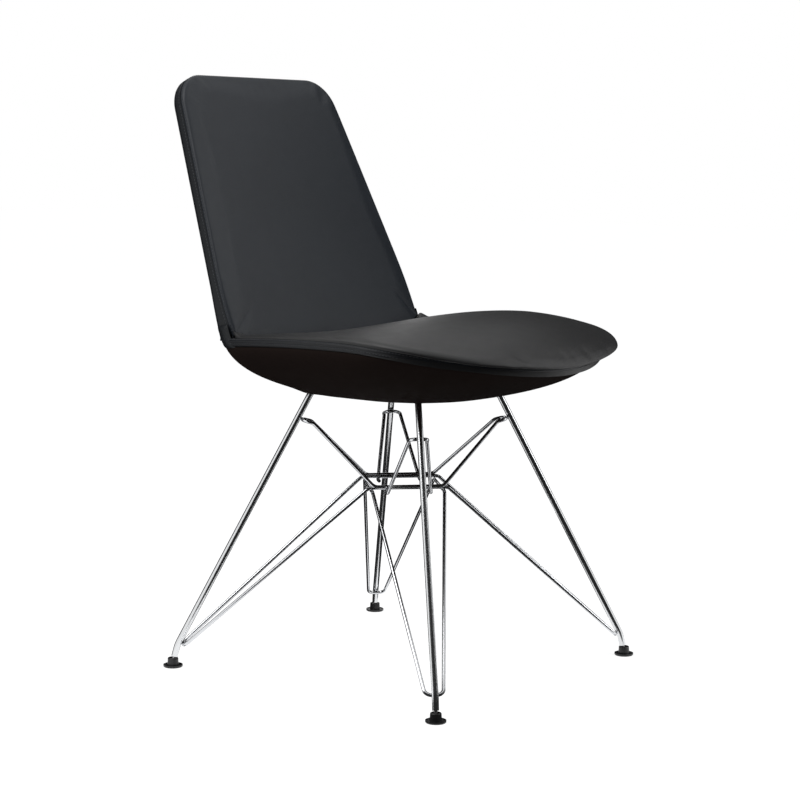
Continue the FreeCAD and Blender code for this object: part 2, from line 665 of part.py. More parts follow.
gap = size("soft_gap")
recline = math.radians(size("recline"))
crease = V(0, size("crease_depth"), size("crease_height"))
back_place = FreeCAD.Placement(crease, FreeCAD.Rotation(V(1, 0, 0), 90 - size("recline")))


def on_back(up, forward):
    """Point of the chair's middle plane, from its place on the back."""
    return back_place.multVec(V(0, up, forward))


def back_at_height(height, forward):
    up = (height - crease.z - forward * math.sin(recline)) / math.cos(recline)
    return on_back(up, forward)


def across_chair(edges, half_width):
    """Profile in the middle plane, extruded to both sides."""
    face = Part.Face(Part.Wire(edges))
    face.translate(V(-half_width, 0, 0))
    return face.extrude(V(2 * half_width, 0, 0))


def leaned(shape):
    """Shape drawn on the back's own axes, stood up in its place."""
    stood = shape.copy()
    stood.Placement = back_place
    return stood


# Board: seat and back in one bend. Grown by a clearance, it is also the pocket that it lies in.

def at_corner(solid, is_end):
    """Straight edges of a slab, at its sides, whose two ends both lie at one end of it."""
    half = max(vertex.X for vertex in solid.Vertexes)
    found = []
    for edge in solid.Edges:
        ends = [vertex.Point for vertex in edge.Vertexes]
        is_at_side = all(abs(abs(point.x) - half) < 1e-3 for point in ends)
        is_across = abs(ends[0].x - ends[-1].x) > 1e-3
        if is_at_side and not is_across and all(is_end(point) for point in ends):
            found.append(edge)
    return found


def board_shape(grow):
    front_face = -(size("back_pad") + gap) + grow
    rear_face = front_face - size("board_thickness") - 2 * grow
    seat_front = -size("board_front") - grow
    top, bottom = board_top + grow, plate_top - grow
    top_end = size("back_length") - size("board_inset_top") + grow
    points = [
        V(0, seat_front, top),
        back_at_height(top, front_face),
        on_back(top_end, front_face),
        on_back(top_end, rear_face),
        back_at_height(bottom, rear_face),
        V(0, seat_front, bottom),
    ]
    inner = size("board_bend") - grow
    outer = size("board_bend") + size("board_thickness") + grow
    edges = rounded(points, [0, inner, 0, 0, outer, 0], closed=True)
    slab = across_chair(edges, size("board_half_width") + grow)
    front_edges = at_corner(slab, lambda point: point.y < seat_front + 1e-3)
    slab = slab.makeFillet(size("board_front_corner") + grow, front_edges)
    top_of_board = on_back(top_end, rear_face).z
    top_edges = at_corner(slab, lambda point: point.z > top_of_board - 1e-3)
    return slab.makeFillet(size("board_top_corner") + grow, top_edges)


board = board_shape(0)
board_pocket = board_shape(gap)
nut_hole = size("nut_barrel") / 2 + size("nut_hole_clearance")
for place in screw_places:
    drill = Part.makeCylinder(nut_hole, size("board_thickness"), place + UP * plate_top)
    board = board.cut(drill)
feature("inner_board", board)

# Seat outline at a height: rear edge, sides, front corners and front edge, all tangent arcs

side_run = size("seat_back_half_width")
widest_run = size("seat_rear") + size("seat_widest")
narrowing = size("seat_half_width") - side_run
SIDE_RADIUS = (widest_run ** 2 + narrowing ** 2) / (2 * narrowing)


def between(low, high, share):
    return low + (high - low) * share


def filled(height, fullness):
    """Share of the way from the flat underside to the full outline, at a height."""
    span = size("hull_full_height") - size("hull_bottom")
    rise = min((height - size("hull_bottom")) / span, 1)
    return 1 - (1 - rise) ** fullness, rise


def seat_outline(height, inset):
    side, rise = filled(height, size("hull_side_fullness"))
    front, rise = filled(height, size("hull_front_fullness"))
    rear, rise = filled(height, size("hull_rear_fullness"))
    half = between(size("hull_foot_half_width"), size("seat_half_width"), side) - inset
    front_y = -between(size("hull_foot_front"), size("seat_front"), front) + inset
    rear_y = between(size("hull_foot_rear"), size("seat_rear"), rear) - inset
    advance = rise ** size("hull_widest_advance")
    widest_y = -between(size("hull_foot_widest"), size("seat_widest"), advance)
    corner = between(size("hull_foot_front_corner"), size("seat_front_corner"), front) - inset
    rear_corner = between(size("hull_foot_rear_corner"), size("seat_rear_corner"), rise ** 2)
    side_radius = SIDE_RADIUS - inset
    depth = widest_y - front_y
    front_radius = ((half - corner) ** 2 + depth ** 2 - corner ** 2) / (2 * (depth - corner))
    front_centre = V(0, front_y + front_radius, height)
    corner_centre = V(half - corner, widest_y, height)
    side_centre = V(half - side_radius, widest_y, height)
    drop = rear_y - rear_corner - widest_y
    rear_centre_x = side_centre.x + ((side_radius - rear_corner) ** 2 - drop ** 2) ** 0.5
    rear_centre = V(rear_centre_x, rear_y - rear_corner, height)
    front_joint = tangent_point(front_centre, corner_centre, front_radius)
    side_joint = V(half, widest_y, height)
    rear_joint = tangent_point(side_centre, rear_centre, side_radius)
    rear_end = rear_centre + V(0, rear_corner, 0)
    front_middle = V(0, front_y, height)
    half_edges = [
        arc_about(front_centre, front_middle, front_joint),
        arc_about(corner_centre, front_joint, side_joint),
        arc_about(side_centre, side_joint, rear_joint),
        arc_about(rear_centre, rear_joint, rear_end),
    ]
    left = [Part.Edge(edge) for edge in half_edges]
    rear_line = Part.LineSegment(rear_end, V(-rear_end.x, rear_end.y, rear_end.z)).toShape()
    right = [edge.mirror(V(), V(1, 0, 0)) for edge in reversed(left)]
    return Part.Wire(left + [rear_line] + right)


def tangent_point(centre, other, radius):
    return centre + (other - centre).normalize() * radius


def arc_about(centre, start, end):
    radius = centre.distanceToPoint(start)
    middle = centre + ((start - centre).normalize() + (end - centre).normalize()).normalize() * radius
    return Part.Arc(start, middle, end).toShape()


bunching = 1.5


def seat_bowl(bottom, top, inset, count):
    """Closed form between two heights, lofted through outlines that bunch towards its foot."""
    heights = [between(bottom, top, (i / (count - 1)) ** bunching) for i in range(count)]
    return Part.makeLoft([seat_outline(height, inset) for height in heights], True, False)


# Seam between band and cushion: two arcs that meet at its highest place, level there

# How far cutting shapes reach past what they cut
beyond = 60


def below_seam(offset):
    """Everything under the seam's surface, moved up by an offset."""
    peak = V(0, -size("seam_peak_depth"), size("seam_peak") + offset)
    ends = []
    rear_seam = (size("seat_rear"), size("seam_rear"))
    front_seam = (-size("seat_front"), size("seam_front"))
    for depth, height in (rear_seam, front_seam):
        run = depth - peak.y
        fall = size("seam_peak") - height
        radius = (run ** 2 + fall ** 2) / (2 * fall)
        run = run + math.copysign(beyond, run)
        end = peak + V(0, run, (radius ** 2 - run ** 2) ** 0.5 - radius)
        half_run = run / 2
        middle = peak + V(0, half_run, (radius ** 2 - half_run ** 2) ** 0.5 - radius)
        ends.append((Part.Arc(peak, middle, end).toShape(), end))
    floor_height = size("hull_bottom") - beyond
    rear_end, front_end = ends[0][1], ends[1][1]
    rear_foot = V(0, rear_end.y, floor_height)
    front_foot = V(0, front_end.y, floor_height)
    edges = [
        ends[0][0],
        Part.LineSegment(rear_end, rear_foot).toShape(),
        Part.LineSegment(rear_foot, front_foot).toShape(),
        Part.LineSegment(front_foot, front_end).toShape(),
        ends[1][0],
    ]
    return across_chair(Part.__sortEdges__(edges), size("seat_half_width") + beyond)


def seam_height(depth):
    peak_y = -size("seam_peak_depth")
    if depth > peak_y:
        far_y, height = size("seat_rear"), size("seam_rear")
    else:
        far_y, height = -size("seat_front"), size("seam_front")
    share = (depth - peak_y) / (far_y - peak_y)
    return size("seam_peak") - (size("seam_peak") - height) * share ** 2


bowl_top = size("seam_peak") + size("rim_rise")
outer_outlines, inner_outlines = 9, 6
bowl = seat_bowl(size("hull_bottom"), bowl_top, 0, outer_outlines)
well = seat_bowl(board_top, bowl_top + gap, size("seat_wall"), inner_outlines)
filling = seat_bowl(board_top + gap, bowl_top, size("seat_wall") + gap, inner_outlines)

# Underside: padded hull with pockets for plate, screws, legs and board

wall = bowl.cut(well)
hull = wall.common(below_seam(-size("band_height") - gap))
plate_half_x = size("leg_top_reach") * size("glide_spacing_across") / 2 / foot_reach + size("plate_margin")
plate_half_y = size("leg_top_reach") * size("glide_spacing_deep") / 2 / foot_reach + size("plate_margin")
pocket_x = plate_half_x + gap
pocket_y = plate_half_y + gap
pocket_bottom = size("plate_bottom") - gap
plate_pocket = Part.makeBox(2 * pocket_x, 2 * pocket_y, size("plate_thickness") + 2 * gap)
plate_pocket.translate(V(-pocket_x, -pocket_y, pocket_bottom))
hull = hull.cut(plate_pocket)
head_drop = size("washer_thickness") + size("screw_head_height") + gap
for place in screw_places:
    head_pocket = Part.makeCylinder(size("washer_diameter") / 2 + gap, head_drop)
    head_pocket.translate(place + UP * (size("plate_bottom") - head_drop))
    hull = hull.cut(head_pocket)
for corner in CORNERS:
    channel = rod(LEG_PATH, LEG_BENDS, size("leg_diameter") + 2 * gap)
    channel.Placement = FreeCAD.Placement(V(), turned(corner))
    hull = hull.cut(channel)
hull = hull.cut(board_pocket)
feature("seat_underside", hull)

# Band: the narrow leather border between underside and cushion

band = wall.common(below_seam(0)).cut(below_seam(-size("band_height")))
feature("seat_band", band.cut(board_pocket))

# Seat cushion: domed in front, dished behind, with its filling in the well of the underside


def half_width_at(depth):
    """Half width of the full seat outline at a depth."""
    widest_y = -size("seat_widest")
    if depth >= widest_y:
        run = depth - widest_y
        return size("seat_half_width") - SIDE_RADIUS + (SIDE_RADIUS ** 2 - run ** 2) ** 0.5
    corner = size("seat_front_corner")
    front_run = widest_y + size("seat_front")
    side = size("seat_half_width") - corner
    front_radius = (side ** 2 + front_run ** 2 - corner ** 2) / (2 * (front_run - corner))
    centre_y = front_radius - size("seat_front")
    joint = tangent_point(V(0, centre_y, 0), V(side, widest_y, 0), front_radius)
    if depth > joint.y:
        return side + (corner ** 2 - (depth - widest_y) ** 2) ** 0.5
    return (max(front_radius ** 2 - (depth - centre_y) ** 2, 0)) ** 0.5


def rim_height(depth):
    curl = max(depth - size("curl_start"), 0) / (size("crease_depth") - size("curl_start"))
    return seam_height(depth) + size("rim_rise") + size("rim_curl") * curl ** 2


def middle_height(depth):
    """Top of the cushion on the chair's middle plane."""
    behind = depth + size("crown_depth")
    if behind >= 0:
        run = size("crease_depth") + size("crown_depth")
        share = min(behind / run, 1)
        return between(size("crown_height"), size("crease_height"), (1 - math.cos(math.pi * share)) / 2)
    share = min(-behind / (size("seat_front") - size("crown_depth")), 1)
    rim = size("seam_front") + size("rim_rise")
    return rim + (size("crown_height") - rim) * (1 - share ** size("nose_fullness"))


overhang = 10
least_rise = 0.5


def crown_section(depth):
    """Closed section across the cushion: an arc from rim to rim, and a flat bottom."""
    half = half_width_at(depth)
    middle = middle_height(depth)
    rise = middle - rim_height(depth)
    if abs(rise) < least_rise:
        rise = math.copysign(least_rise, rise)
    radius = (half ** 2 + rise ** 2) / (2 * abs(rise))
    reach = half + overhang
    fall = math.copysign(radius - (radius ** 2 - reach ** 2) ** 0.5, rise)
    left = V(reach, depth, middle - fall)
    right = V(-reach, depth, middle - fall)
    bottom = size("seam_front") - overhang
    left_foot = V(reach, depth, bottom)
    right_foot = V(-reach, depth, bottom)
    edges = [
        Part.Arc(left, V(0, depth, middle), right).toShape(),
        Part.LineSegment(right, right_foot).toShape(),
        Part.LineSegment(right_foot, left_foot).toShape(),
        Part.LineSegment(left_foot, left).toShape(),
    ]
    return Part.Wire(edges)



sections = []
crown_rear, crown_front = size("seat_rear") + 4, -size("seat_front") + 1
crown_steps, crown_bunching = 13, 1.7
for step in range(crown_steps + 1):
    share = 1 - (1 - step / crown_steps) ** crown_bunching
    sections.append(crown_section(between(crown_rear, crown_front, share)))
crown = Part.makeLoft(sections, True, False)
rim_prism = Part.Face(seat_outline(size("hull_full_height"), 0))
rim_prism.translate(UP * (size("seam_front") - size("hull_full_height")))
rim_prism = rim_prism.extrude(UP * (size("crown_height") - size("seam_front") + overhang))
pad = crown.common(rim_prism).cut(below_seam(gap))
cushion = pad.fuse(filling.common(below_seam(2 * gap)))

board_front_face = -size("back_pad")
tuck = size("crease_tuck") + gap
high_up = 150
seat_side_points = [
    V(0, -size("seat_front") - high_up, board_top + gap),
    back_at_height(board_top + gap, board_front_face),
    on_back(-tuck, board_front_face),
    on_back(-tuck, gap),
    on_back(high_up, gap),
    V(0, -size("seat_front") - high_up, size("crown_height") + high_up),
]
seat_side = rounded(seat_side_points, [0, size("board_bend") - gap, 0, 0, 0, 0], closed=True)
cushion = cushion.common(across_chair(seat_side, size("seat_half_width") + high_up))
for place in screw_places:
    nut_pocket = Part.makeCylinder(size("nut_flange") / 2 + gap, size("nut_flange_thickness") + gap)
    nut_pocket.translate(place + UP * board_top)
    cushion = cushion.cut(nut_pocket)
feature("seat_cushion", cushion)

# Back cushion and the leather cover that wraps it from behind


def back_outline(foot):
    half_foot = size("back_half_foot")
    half_top = size("back_half_top")
    top = size("back_length")
    points = [
        V(half_foot, foot, 0),
        V(half_foot, size("back_shoulder"), 0),
        V(half_top, top, 0),
        V(-half_top, top, 0),
        V(-half_foot, size("back_shoulder"), 0),
        V(-half_foot, foot, 0),
    ]
    bend, corner = size("back_shoulder_radius"), size("back_corner")
    return Part.Face(Part.Wire(rounded(points, [0, bend, corner, corner, bend, 0], closed=True)))


def back_section(up, crown_rise):
    half = size("back_half_foot")
    left, right = V(half, up, 0), V(-half, up, 0)
    left_rear, right_rear = V(half, up, -size("back_pad")), V(-half, up, -size("back_pad"))
    edges = [
        Part.Arc(left, V(0, up, crown_rise), right).toShape(),
        Part.LineSegment(right, right_rear).toShape(),
        Part.LineSegment(right_rear, left_rear).toShape(),
        Part.LineSegment(left_rear, left).toShape(),
    ]
    return Part.Wire(edges)


back_foot = -size("crease_tuck")
crown_ups = [0, 0.1, 0.3, 0.5, 0.7, 0.9, 1]
least_crown = 0.05
sections = []
for share in crown_ups:
    rise = size("back_crown") * math.sin(math.pi * share) ** 2 + least_crown
    sections.append(back_section(between(back_foot, size("back_length"), share), rise))
back_pad = Part.makeLoft(sections, True, False)
depth_above = size("back_crown") + size("back_pad")
inner_face = back_outline(back_foot)
inner_face.translate(V(0, 0, -size("back_pad")))
back_pad = leaned(back_pad.common(inner_face.extrude(V(0, 0, depth_above))))
ring_walls = bowl.cut(filling).common(below_seam(gap))
back_pad = max(back_pad.cut(ring_walls).Solids, key=lambda solid: solid.Volume)
feature("back_cushion", back_pad)

outer_face = back_outline(back_foot)
deepest = size("back_depth_foot") + high_up
outer_face.translate(V(0, 0, -deepest))
cover = leaned(outer_face.extrude(V(0, 0, deepest)))
cover_profile = rounded([
    on_back(back_foot, 0),
    on_back(size("back_length"), 0),
    on_back(size("back_length"), -size("back_depth_top")),
    on_back(size("back_flare"), -size("back_depth_top")),
    on_back(back_foot, -size("back_depth_foot")),
], [0, 0, 0, size("back_shoulder_radius"), 0], closed=True)
cover = cover.common(across_chair(cover_profile, size("seat_half_width")))
recess_points = [
    on_back(-high_up, -size("back_pad") - gap),
    on_back(size("back_length") + high_up, -size("back_pad") - gap),
    on_back(size("back_length") + high_up, high_up),
    on_back(-high_up, high_up),
]
recess = across_chair(rounded(recess_points, [0, 0, 0, 0], closed=True), size("seat_half_width"))
cover = cover.cut(recess).cut(board_pocket).cut(below_seam(gap))
feature("back_cover", cover)

# The finished chair is stood with its origin under the middle of its outline

doc.recompute()
low = min(piece.Shape.optimalBoundingBox(False).YMin for piece in pieces)
high = max(piece.Shape.optimalBoundingBox(False).YMax for piece in pieces)
to_middle = V(0, -(low + high) / 2, 0)
for piece in pieces:
    piece.Placement.Base = piece.Placement.Base + to_middle
doc.recompute()

for obj in doc.Objects:
    if "Invalid" in obj.State or "Error" in obj.State:
        raise ValueError(obj.Label + " was not computed")
for piece in pieces:
    if piece.Shape.isNull() or not piece.Shape.isValid():
        raise ValueError(piece.Label + " is not a valid shape")
for piece in pieces:
    piece.Shape.exportStep("parts/" + piece.Label + ".step")
    print(piece.Label, len(piece.Shape.Solids), round(piece.Shape.Volume / 1000, 2))
print("middle of the outline from the base's axis:", round(-to_middle.y, 2))
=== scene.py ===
import bpy
import math
from mathutils import Matrix, Vector


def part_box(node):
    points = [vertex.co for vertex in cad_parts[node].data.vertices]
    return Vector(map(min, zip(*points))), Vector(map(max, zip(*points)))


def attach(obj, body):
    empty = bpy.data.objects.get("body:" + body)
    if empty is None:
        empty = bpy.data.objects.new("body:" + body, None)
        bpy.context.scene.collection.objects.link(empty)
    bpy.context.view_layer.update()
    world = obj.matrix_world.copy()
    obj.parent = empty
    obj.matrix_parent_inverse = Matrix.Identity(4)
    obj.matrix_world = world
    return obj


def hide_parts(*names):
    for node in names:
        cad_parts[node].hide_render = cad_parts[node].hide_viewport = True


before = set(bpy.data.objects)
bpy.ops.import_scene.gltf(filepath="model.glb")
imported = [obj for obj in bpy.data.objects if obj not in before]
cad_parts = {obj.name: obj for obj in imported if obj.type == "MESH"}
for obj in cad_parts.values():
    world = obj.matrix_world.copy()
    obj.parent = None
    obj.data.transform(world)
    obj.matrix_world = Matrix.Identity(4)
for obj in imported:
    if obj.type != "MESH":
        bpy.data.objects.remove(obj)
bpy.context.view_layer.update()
print("frame loaded:", len(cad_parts), "nodes")

# The base's axis stands a little ahead of the middle of the whole chair
plateLow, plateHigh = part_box("mount_plate")
axisDepth = (plateLow.y + plateHigh.y) / 2


def mix(low, high, share):
    return low + (high - low) * share


def soften(share):
    share = min(max(share, 0), 1)
    return share * share * (3 - 2 * share)


def inRow(x, y, z):
    return Vector((x, y + axisDepth, z))


# Modelling helpers

seamReach = 0.00005  # vertices nearer than this are one
settleSteps = 8  # rounds in which a height and its outline settle on each other


def deselectAll():
    bpy.ops.object.select_all(action="DESELECT")


def makeActive(piece):
    deselectAll()
    piece.select_set(True)
    bpy.context.view_layer.objects.active = piece


def applied(piece, kind, **settings):
    makeActive(piece)
    modifier = piece.modifiers.new(kind.title(), kind)
    for setting, value in settings.items():
        setattr(modifier, setting, value)
    bpy.ops.object.modifier_apply(modifier=modifier.name)


def inEditMode(piece, *steps):
    makeActive(piece)
    bpy.ops.object.mode_set(mode="EDIT")
    bpy.ops.mesh.select_all(action="SELECT")
    for step in steps:
        step()
    bpy.ops.object.mode_set(mode="OBJECT")


def closeSeams(piece):
    inEditMode(
        piece,
        lambda: bpy.ops.mesh.remove_doubles(threshold=seamReach),
        lambda: bpy.ops.mesh.normals_make_consistent(inside=False),
    )


def laidGrid(name, columns, rows, place, sewnFrom=None):
    # A flat grid whose vertices are laid on the piece's surface; a sewn rim is kept as a vertex group
    deselectAll()
    bpy.ops.mesh.primitive_grid_add(x_subdivisions=columns, y_subdivisions=rows, size=2)
    piece = bpy.context.active_object
    piece.name = piece.data.name = name
    if sewnFrom is not None:
        rim = [v.index for v in piece.data.vertices if max(abs(v.co.x), abs(v.co.y)) > sewnFrom]
        piece.vertex_groups.new(name="sewn").add(rim, 1, "REPLACE")
    for vertex in piece.data.vertices:
        vertex.co = place(vertex.co.x, vertex.co.y)
    return piece


def smoothed(piece, degrees=40):
    makeActive(piece)
    bpy.ops.object.shade_smooth_by_angle(angle=math.radians(degrees))


def dressed(piece, material, body="chair"):
    piece.data.materials.clear()
    piece.data.materials.append(material)
    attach(piece, body)


def onSquare(u, v):
    # Ring and share of the way round it, for a point of a flat square grid; round starts at the lower middle
    ring = max(abs(u), abs(v))
    if ring < 1e-6:
        return 0, 0
    across, up = abs(u) / ring, v / ring
    if up <= -1 + 1e-6:
        share = across / 8
    elif up >= 1 - 1e-6:
        share = 0.5 - across / 8
    else:
        share = 0.25 + up / 8
    return ring, share if u >= 0 else 1 - share


def onArc(arc, share):
    centre, radius, first, last = arc
    angle = mix(first, last, share)
    return Vector((centre[0] + radius * math.cos(angle), centre[1] + radius * math.sin(angle)))


def onOutline(parts, stops, share):
    # Half an outline made of arcs and straight runs, and its mirror image
    half = share if share <= 0.5 else 1 - share
    number = 0
    while number < len(parts) - 1 and half > stops[number + 1]:
        number += 1
    local = (half - stops[number]) / (stops[number + 1] - stops[number])
    part = parts[number]
    point = onArc(part, local) if len(part) == 4 else part[0].lerp(part[1], local)
    return point if share <= 0.5 else Vector((-point.x, point.y))


# Seat: sizes in metres, forwards and back from the base's axis

seat = {
    "footHeight": 0.380, "footHalf": 0.100, "footFront": 0.115, "footWidest": 0.020,
    "footRear": 0.115, "footFrontCorner": 0.080, "footRearCorner": 0.070,
    "fullHeight": 0.475, "half": 0.240, "front": 0.277, "widest": 0.120,
    "rear": 0.166, "frontCorner": 0.140, "rearCorner": 0.012, "rearHalf": 0.207,
    "sideFullness": 2.5, "frontFullness": 3.3, "rearFullness": 5, "widestAdvance": 0.8,
    "band": 0.0115, "seamPeak": 0.472, "seamPeakDepth": 0.065, "seamRear": 0.460, "seamFront": 0.434,
    "rimRise": 0.007, "rimCurl": 0.012, "curlStart": 0.110, "curlEnd": 0.1347,
    "crown": 0.499, "crownDepth": 0.130, "noseFullness": 2.6,
    "creaseDepth": 0.121, "creaseHeight": 0.449, "tuck": 0.008,
    "roll": 0.010, "sideBase": 0.0025, "creaseDrop": 0.004, "dishFullness": 4, "crownFullness": 2,
}
seatRun = seat["rear"] + seat["widest"]
seatNarrowing = seat["half"] - seat["rearHalf"]
sideRadius = (seatRun ** 2 + seatNarrowing ** 2) / (2 * seatNarrowing)
seatStops = [0, 0.095, 0.16, 0.355, 0.395, 0.5]
recline = math.radians(22.5)
outlineKept = {}


def seatParts(height):
    if height in outlineKept:
        return outlineKept[height]
    rise = (height - seat["footHeight"]) / (seat["fullHeight"] - seat["footHeight"])
    rise = min(max(rise, 0), 1)
    side = 1 - (1 - rise) ** seat["sideFullness"]
    nose = 1 - (1 - rise) ** seat["frontFullness"]
    tail = 1 - (1 - rise) ** seat["rearFullness"]
    half = mix(seat["footHalf"], seat["half"], side)
    front = -mix(seat["footFront"], seat["front"], nose)
    rear = mix(seat["footRear"], seat["rear"], tail)
    widest = -mix(seat["footWidest"], seat["widest"], rise ** seat["widestAdvance"])
    corner = mix(seat["footFrontCorner"], seat["frontCorner"], nose)
    rearCorner = mix(seat["footRearCorner"], seat["rearCorner"], rise ** 2)
    depth = widest - front
    frontRadius = ((half - corner) ** 2 + depth ** 2 - corner ** 2) / (2 * (depth - corner))
    frontCentre = (0, front + frontRadius)
    cornerTurn = math.atan2(widest - frontCentre[1], half - corner)
    drop = rear - rearCorner - widest
    sideCentre = (half - sideRadius, widest)
    rearX = sideCentre[0] + math.sqrt((sideRadius - rearCorner) ** 2 - drop ** 2)
    rearTurn = math.atan2(drop, rearX - sideCentre[0])
    parts = [
        (frontCentre, frontRadius, -math.pi / 2, cornerTurn),
        ((half - corner, widest), corner, cornerTurn, 0),
        (sideCentre, sideRadius, 0, rearTurn),
        ((rearX, rear - rearCorner), rearCorner, rearTurn, math.pi / 2),
        (Vector((rearX, rear)), Vector((0, rear))),
    ]
    outlineKept[height] = parts
    return parts


def seatOutline(share, height):
    return onOutline(seatParts(height), seatStops, share)


def seamHeight(y):
    peak = -seat["seamPeakDepth"]
    far, end = (seat["rear"], seat["seamRear"]) if y > peak else (-seat["front"], seat["seamFront"])
    return seat["seamPeak"] - (seat["seamPeak"] - end) * ((y - peak) / (far - peak)) ** 2


def onBowl(share, below):
    # Point of the bowl's outside at a distance below the seam
    height = seat["seamRear"]
    for attempt in range(settleSteps):
        point = seatOutline(share, height)
        height = seamHeight(point.y) - below
    return Vector((point.x, point.y, height))


def halfWidthAt(y):
    widest = -seat["widest"]
    if y >= widest:
        return seat["half"] - sideRadius + math.sqrt(sideRadius ** 2 - (y - widest) ** 2)
    (centre, radius, _, turn), (cornerCentre, corner, _, _) = seatParts(seat["fullHeight"])[:2]
    if y > centre[1] + radius * math.sin(turn):
        return cornerCentre[0] + math.sqrt(corner ** 2 - (y - widest) ** 2)
    return math.sqrt(max(radius ** 2 - (y - centre[1]) ** 2, 0))


def rimHeight(y):
    curl = max(y - seat["curlStart"], 0) / (seat["curlEnd"] - seat["curlStart"])
    return seamHeight(y) + seat["rimRise"] + seat["rimCurl"] * curl ** 2


def middleHeight(y):
    behind = y + seat["crownDepth"]
    if behind >= 0:
        share = min(behind / (seat["creaseDepth"] + seat["crownDepth"]), 1)
        return mix(seat["crown"], seat["creaseHeight"], (1 - math.cos(math.pi * share)) / 2)
    share = min(-behind / (seat["front"] - seat["crownDepth"]), 1)
    rim = seat["seamFront"] + seat["rimRise"]
    return rim + (seat["crown"] - rim) * (1 - share ** seat["noseFullness"])


def seatTop(x, y):
    half = max(halfWidthAt(y), 0.001)
    middle, rim = middleHeight(y), rimHeight(y)
    dish = mix(seat["crownFullness"], seat["dishFullness"], min(max(y, 0) / seat["creaseDepth"], 1))
    return middle + (rim - middle) * min(abs(x) / half, 1) ** dish


def creaseDepthAt(x):
    y = seat["creaseDepth"]
    for attempt in range(settleSteps):
        y = seat["creaseDepth"] + (seatTop(x, y) - seat["creaseHeight"]) * math.tan(recline)
    return y


sideEnd = seat["curlEnd"]
sideShare = 0.375  # share of the outline at which the side ends and the crease starts


def cushionOutline(share):
    # The seat's full outline up to the crease, then the crease itself
    half = share if share <= 0.5 else 1 - share
    side = 1 if share <= 0.5 else -1
    if half <= seatStops[2]:
        point = seatOutline(half, seat["fullHeight"])
    elif half <= sideShare:
        y = mix(-seat["widest"], sideEnd, (half - seatStops[2]) / (sideShare - seatStops[2]))
        point = Vector((halfWidthAt(y), y))
    else:
        x = halfWidthAt(sideEnd) * (0.5 - half) / (0.5 - sideShare)
        point = Vector((x, creaseDepthAt(x)))
    return Vector((point.x * side, point.y))


# Seat cushion: one crowned closed form, rolled over at its edge and tucked into the crease

cushion = {
    "cells": 64, "edgeRings": 9, "sewnShare": 0.55, "centre": -0.070, "sideTurn": 0.6,
    "straightness": 0.1, "tuckInwards": 0.003, "tuckDown": 0.0012,
    "pressure": 3.0, "mostSwell": 0.0025, "drop": (0, 0, -0.010),
}
cushionRings = cushion["cells"] // 2


cornerReach = 0.01  # share on either side of a sharp corner that takes the corner's own direction
directionStep = 0.002  # share on either side of a point between which its direction is measured


def inwardsOf(outline, share):
    along = outline((share + directionStep) % 1) - outline((share - directionStep) % 1)
    return Vector((-along.y, along.x)).normalized()


def seatEdge(share, stage):
    # Profile of the cushion's edge: 0 to 1 is the roll, 1 to 2 the side down to the seam and under it
    half = min(share, 1 - share)
    rim = cushionOutline(share)
    isCrease = half > sideShare + 1e-6
    inwards = inwardsOf(cushionOutline, share)
    if abs(half - sideShare) < cornerReach:
        inwards = Vector((-math.copysign(1, rim.x), -1)).normalized()
    onTop = rim + inwards * seat["roll"]
    topHeight = seatTop(onTop.x, onTop.y)
    if isCrease:
        base = seatTop(rim.x, rim.y) - seat["creaseDrop"]
    else:
        curl = max(rimHeight(rim.y) - seamHeight(rim.y) - seat["rimRise"], 0)
        base = seamHeight(rim.y) + seat["sideBase"] + curl
    if stage <= 1:
        turn = stage * math.pi / 2
        flat = rim + inwards * seat["roll"] * (1 - math.sin(turn))
        return Vector((flat.x, flat.y, mix(base, topHeight, math.cos(turn))))
    down = stage - 1
    if isCrease:
        tucked = Vector((0, -math.sin(recline), -math.cos(recline))) * seat["tuck"] * down
        return Vector((rim.x, rim.y, base)) + tucked
    seam = onBowl(bowlShare(share), 0)
    if down <= cushion["sideTurn"]:
        along = down / cushion["sideTurn"]
        return Vector((rim.x, rim.y, base)).lerp(seam, mix(soften(along), along, cushion["straightness"]))
    tucked = inwards * cushion["tuckInwards"]
    under = seam + Vector((tucked.x, tucked.y, -cushion["tuckDown"]))
    return seam.lerp(under, (down - cushion["sideTurn"]) / (1 - cushion["sideTurn"]))


def bowlShare(share):
    # Share of the bowl's own outline that lies beside a point of the cushion's outline
    half = min(share, 1 - share)
    if half > seatStops[2]:
        y = mix(-seat["widest"], sideEnd, (half - seatStops[2]) / (sideShare - seatStops[2]))
        centre, radius, _, last = seatParts(seat["fullHeight"])[2]
        angle = math.asin((y - centre[1]) / radius)
        half = mix(seatStops[2], seatStops[3], angle / last)
    return half if share <= 0.5 else 1 - half


def onCushion(u, v):
    ring, share = onSquare(u, v)
    number = round(ring * cushionRings)
    plain = cushionRings - cushion["edgeRings"]
    if number > plain:
        stage = (number - plain) / cushion["edgeRings"] * 2
        return inRow(*seatEdge(share, stage))
    start = seatEdge(share, 0)
    centre = Vector((0, cushion["centre"]))
    flat = centre.lerp(Vector((start.x, start.y)), number / plain)
    return inRow(flat.x, flat.y, seatTop(flat.x, flat.y))


sewnFrom = 1 - cushion["edgeRings"] * cushion["sewnShare"] / cushionRings
seatCushion = laidGrid("seat_top_leather", cushion["cells"], cushion["cells"], onCushion, sewnFrom)
print("seat cushion laid:", len(seatCushion.data.vertices), "vertices")


